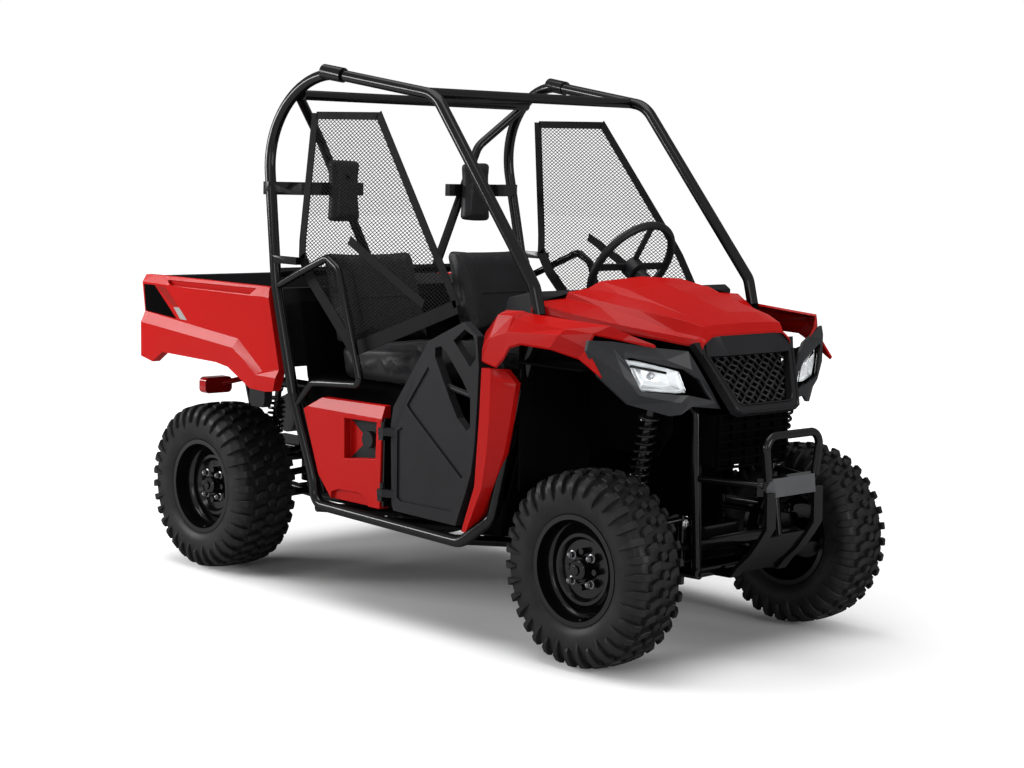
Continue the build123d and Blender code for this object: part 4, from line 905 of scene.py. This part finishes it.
# ------------------------------------------------------------------ headlamps
# Outlines are (x, y, z) in millimetres for the left side, and profiles (share, depth).
LENS = [(448, -1006, 931), (415, -1020, 926), (327, -1060, 903), (293, -1076, 893),
        (266, -1086, 830), (305, -1074, 829), (407, -1030, 838), (428, -1020, 880)]
LENS_SHEET = 0.003
REFLECTOR = [(1.0, 0.029), (1.0, 0.007), (0.90, 0.011), (0.86, 0.0115), (0.62, 0.022),
             (0.58, 0.0215), (0.30, 0.026), (0.16, 0.026)]
COVER = [(0.985, LENS_SHEET), (0.985, 0.0006), (0.95, -0.0004)]
BULB = [(0, 0.012), (0.006, 0.012), (0.011, 0.008), (0.013, 0.002)]
LAMP_EDGE = [(466, -1014, 934), (448, -1022, 938), (336, -1070, 911), (286, -1092, 900),
             (243, -1108, 877), (212, -1118, 828), (194, -1122, 806), (278, -1104, 824),
             (306, -1094, 825), (322, -1088, 827), (417, -1042, 838), (438, -1030, 880),
             (454, -1020, 915)]
HOUSING = [(1.02, 0.011), (0.98, 0.045), (0.74, 0.085), (0.30, 0.092), (0.26, 0.090),
           (0.70, 0.081), (0.93, 0.043), (0.97, 0.011)]
HOUSING_BACK = [(0.32, 0.088), (0.32, 0.092)]


def lamp_outline(outline, side):
    """One side's outline in metres, and its middle."""
    points = [Vector((side * x, y, z)) * MM for x, y, z in outline]
    return points, sum(points, Vector()) / len(points)


def lamp_rings(made, outline, side, profile):
    """Rings of the outline's own shape, by share of its size and depth behind it."""
    points, middle = lamp_outline(outline, side)
    return [[made.verts.new(middle + (point - middle) * share + Vector((0, depth, 0)))
             for point in points] for share, depth in profile]


def headlamps():
    """A faceted bright reflector with a bulb, behind a clear sheet."""
    parts = Round()
    clear = Round()
    for side in (-1, 1):
        skin(parts.made, lamp_rings(parts.made, LENS, side, REFLECTOR))
        points, middle = lamp_outline(LENS, side)
        parts.turned(middle + Vector((0, 0.024, 0)), (side * -0.35, -1, 0), BULB, 28, 1)
        parts.rod([points[0].lerp(points[1], 0.5) + Vector((0, 0.006, -0.018)),
                   points[2] + Vector((0, 0.006, -0.014))], 0.004, 10, 2)
        skin(clear.made, lamp_rings(clear.made, LENS, side, COVER))
    parts.piece("headlamp_reflectors", "headlamps", "reflector", sharp=12,
                extra=("bright", "dark"))
    clear.piece("headlamp_lenses", "headlamps", "clear", replaces=False, sharp=20)


def lamp_housings():
    """The closed black bowls behind the lamp openings."""
    parts = Round()
    for side in (-1, 1):
        rings = lamp_rings(parts.made, LAMP_EDGE, side, HOUSING)
        skin(parts.made, [*rings, rings[0]], ends=False)
        skin(parts.made, lamp_rings(parts.made, LAMP_EDGE, side, HOUSING_BACK))
    parts.piece("headlamp_housings", "headlamp_bezels", "dark", replaces=False)


headlamps()
lamp_housings()

# ------------------------------------------------------------------ painted shade sheets
# Near-black sheets where the nose and the space under it are only in shade: painted shade.
SHADE_SHEET_THICK = 0.003
HOOD_SHADE_SHEET = [(-0.668, 0.903), (-0.668, 1.062), (-0.870, 1.036), (-0.985, 0.982), (-1.056, 0.952),
         (-1.064, 0.903)]
HOOD_SHADE_SHEET_X = 0.247
MIDDLE_SHADE_SHEET = [(-0.655, 0.395), (-0.655, 0.640), (-1.008, 0.640), (-1.008, 0.395)]
LOW_SHADE_SHEET = [(-0.185, -1.075), (0.185, -1.075), (0.185, -0.672), (-0.185, -0.672)]
LOW_SHADE_SHEET_Z = 0.254


def sheet_between(parts, outline, place, offset):
    """A flat sheet through the outline's placed corners, thickened by the offset."""
    rings = [[parts.made.verts.new(place(*point) + Vector(offset) * k) for point in outline]
             for k in (0, 1)]
    skin(parts.made, rings)


def shade_sheets_in_nose():
    """Thin near-black sheets inside the nose that paint its shade: aprons under the hood, a middle
    sheet and a skid.
    """
    parts = Round()
    for side in (-1, 1):
        sheet_between(parts, HOOD_SHADE_SHEET, lambda y, z: Vector((side * HOOD_SHADE_SHEET_X, y, z)),
                      (SHADE_SHEET_THICK, 0, 0))
    sheet_between(parts, MIDDLE_SHADE_SHEET, lambda y, z: Vector((-SHADE_SHEET_THICK / 2, y, z)),
                  (SHADE_SHEET_THICK, 0, 0))
    sheet_between(parts, LOW_SHADE_SHEET, lambda x, y: Vector((x, y, LOW_SHADE_SHEET_Z)), (0, 0, SHADE_SHEET_THICK))
    parts.piece("nose_shade_sheets", "wheel_liners", "dark", replaces=False)


shade_sheets_in_nose()

# ------------------------------------------------------------------ bolts
BOLTS = [((0.205, -1.033, 0.300), (0, -1, 0), 0.009), ((0.205, -0.843, 0.300), (0, 1, 0), 0.009),
         ((0.205, -1.045, 0.420), (0, -1, 0), 0.009), ((0.185, 1.023, 0.300), (0, 1, 0), 0.009),
         ((0.335, -0.922, 0.268), (0, -1, 0), 0.010), ((0.322, -1.022, 0.800), (0, -1, 0), 0.010)]
BOLT_HEIGHT = 0.009


def bolt(parts, at, axis, radius):
    """A flanged hex bolt head standing on a surface."""
    parts.turned(at, axis, [(0, radius * 1.45), (0.0015, radius * 1.45), (0.002, radius)], 24)
    parts.hexagon(Vector(at) + Vector(axis) * 0.002, axis, radius, BOLT_HEIGHT)


def bolts():
    parts = Round()
    for side in (-1, 1):
        for (x, y, z), axis, radius in BOLTS:
            bolt(parts, (side * x, y, z), axis, radius)
    parts.piece("suspension_bolts", "suspension_arms", "bright", replaces=False)


bolts()

# ------------------------------------------------------------------ decals on the bed sides
# Outlines are (y, z) points. They are dropped on the bed's faces from outside.
DECAL_SHEET = 0.0005
DECAL_SINK = 0.0008
DECAL_CELL = 0.006
DECALS = [("dark", [(1.284, 1.006), (1.215, 1.007), (1.086, 0.893), (1.283, 0.908)]),
          ("decal_grey", [(1.100, 0.934), (1.066, 0.935), (1.018, 0.892), (1.062, 0.893)]),
          ("decal_red", [(1.213, 1.007), (1.150, 1.005), (1.068, 0.937), (1.102, 0.936)])]


def decal(tree, outline, side):
    """A thin field of the (y, z) outline, dropped on the bed's outer face cell by cell."""
    part = bmesh.new()
    part.faces.new([part.verts.new((0, y, z)) for y, z in outline])
    ys, zs = [y for y, z in outline], [z for y, z in outline]
    for axis, low, high in ((1, min(ys), max(ys)), (2, min(zs), max(zs))):
        for i in range(1, math.ceil((high - low) / DECAL_CELL)):
            at, normal = Vector(), Vector()
            at[axis], normal[axis] = low + i * DECAL_CELL, 1.0
            bmesh.ops.bisect_plane(part, geom=part.verts[:] + part.edges[:] + part.faces[:],
                                   plane_co=at, plane_no=normal)
    for vert in part.verts:
        start = Vector((side * 0.8, vert.co.y, vert.co.z))
        hit = tree.ray_cast(start, Vector((-side, 0, 0)))[0]
        vert.co.x = hit.x + side * DECAL_SHEET
    for item in bmesh.ops.extrude_face_region(part, geom=part.faces[:])["geom"]:
        if isinstance(item, bmesh.types.BMVert):
            item.co.x -= side * DECAL_SINK
    return part


def decals():
    """Plain slanted fields laid on the outer faces of the bed."""
    source = bmesh.new()
    source.from_mesh(nodes["bed_sides"].data)
    tree = BVHTree.FromBMesh(source)
    source.free()
    for look, outline in DECALS:
        made = bmesh.new()
        for side in (-1, 1):
            part = decal(tree, outline, side)
            data = bpy.data.meshes.new("decal_part")
            part.to_mesh(data)
            part.free()
            made.from_mesh(data)
            bpy.data.meshes.remove(data)
        bmesh.ops.recalc_face_normals(made, faces=made.faces)
        add_piece(f"bed_decal_{look}", made, "bed_sides", look, replaces=False)


decals()

# ------------------------------------------------------------------ seats
PAD_VOXEL = 0.006
PAD_PRESSURE = 4.0
PAD_FRAMES = 20
SEAT_AT = 0.285
SEAM_OUT = 0.115
SEAM_RADIUS = 0.0026
SEAM_STEPS = 12
SEAM_REACH = 0.4
BUTTON_AT = (0.313, 0.4705)
BUTTON_HEIGHTS = (1.320, 1.425)
BUTTON = [(-0.012, 0.010), (-0.002, 0.010), (0.0008, 0.0085), (-0.002, 0.004)]


def islands(made):
    """The mesh's separate bodies, each as a list of vertices."""
    found = []
    left = set(made.verts)
    while left:
        stack, island = [left.pop()], []
        while stack:
            vert = stack.pop()
            island.append(vert)
            for edge in vert.link_edges:
                other = edge.other_vert(vert)
                if other in left:
                    left.remove(other)
                    stack.append(other)
        found.append(island)
    return found


def pad_mesh(node, inset, corner):
    """The node's solids drawn in a little, with their corners well rounded."""
    made = node_mesh(node)
    for island in islands(made):
        low = [min(v.co[k] for v in island) for k in range(3)]
        high = [max(v.co[k] for v in island) for k in range(3)]
        for vert in island:
            for k in range(3):
                middle, half = (low[k] + high[k]) / 2, (high[k] - low[k]) / 2
                vert.co[k] = middle + (vert.co[k] - middle) * (half - inset) / half
    bmesh.ops.bevel(made, geom=made.edges[:], offset=corner, segments=4, profile=0.5,
                    affect="EDGES", clamp_overlap=True)
    return made


def settle(piece):
    """Write the modifiers' result into the piece's own mesh."""
    view = bpy.context.evaluated_depsgraph_get()
    result = bpy.data.meshes.new_from_object(piece.evaluated_get(view))
    piece.modifiers.clear()
    piece.data = result


def inflate(piece, cap):
    """Swell a pad with the cloth solver, no point moving further than cap."""
    scene = bpy.context.scene
    mesh = piece.data
    remesh = piece.modifiers.new("voxels", "REMESH")
    remesh.mode = "VOXEL"
    remesh.voxel_size = PAD_VOXEL
    settle(piece)
    start = [vert.co.copy() for vert in piece.data.vertices]
    cloth = piece.modifiers.new("cloth", "CLOTH")
    cloth.settings.use_pressure = True
    cloth.settings.uniform_pressure_force = PAD_PRESSURE
    cloth.settings.effector_weights.gravity = 0.0
    cloth.settings.quality = 5
    cloth.point_cache.frame_start = 1
    cloth.point_cache.frame_end = PAD_FRAMES
    for number in range(1, PAD_FRAMES + 1):
        scene.frame_set(number)
    settle(piece)
    for vert, before in zip(piece.data.vertices, start):
        moved = vert.co - before
        if moved.length > cap:
            vert.co = before + moved.normalized() * cap
    scene.frame_set(1)
    if mesh.users == 0:
        bpy.data.meshes.remove(mesh)


def pad(node, inset, corner, cap):
    piece = add_piece(f"{node}_pads", pad_mesh(node, inset, corner), node, sharp=180)
    inflate(piece, cap)
    piece.data.shade_smooth()
    return piece


def seams(piece, node, name, lines, along):
    """Piping sewn on a pad: each line of points is dropped on the pad's face."""
    made = bmesh.new()
    made.from_mesh(piece.data)
    tree = BVHTree.FromBMesh(made)
    made.free()
    parts = Round()
    for line in lines:
        dropped = []
        for one, two in zip(line, line[1:]):
            for i in range(SEAM_STEPS + 1):
                spot = Vector(one).lerp(Vector(two), i / SEAM_STEPS)
                hit = tree.ray_cast(spot - Vector(along) * SEAM_REACH, Vector(along))[0]
                if hit and (not dropped or (hit - dropped[-1]).length > 0.004):
                    dropped.append(hit)
        if len(dropped) > 2:
            parts.rod(dropped, SEAM_RADIUS, 8)
    parts.piece(name, node, replaces=False)


def seats():
    cushions = pad("seat_cushions", inset=0.005, corner=0.022, cap=0.008)
    backs = pad("seat_backs", inset=0.005, corner=0.018, cap=0.008)
    pad("headrests", inset=0.004, corner=0.015, cap=0.006)
    top, front = [], []
    for side in (-1, 1):
        left, right = side * SEAT_AT - SEAM_OUT, side * SEAT_AT + SEAM_OUT
        for x in (left, right):
            top.append([(x, -0.13, 0.89), (x, 0.25, 0.89)])
            front.append([(x, 0.30, 0.93), (x, 0.36, 1.15)])
        top.append([(left, 0.02, 0.89), (right, 0.02, 0.89)])
        front.append([(left, 0.33, 1.02), (right, 0.33, 1.02)])
    seams(cushions, "seat_cushions", "seat_cushion_seams", top, (0, 0, -1))
    seams(backs, "seat_backs", "seat_back_seams", front, (0, 1, 0))
    buttons = Round()
    for side in (-1, 1):
        for z in BUTTON_HEIGHTS:
            buttons.turned((side * BUTTON_AT[0], BUTTON_AT[1], z), (0, -1, 0), BUTTON, 24)
    buttons.piece("headrest_buttons", "headrests", "dark", replaces=False)


seats()
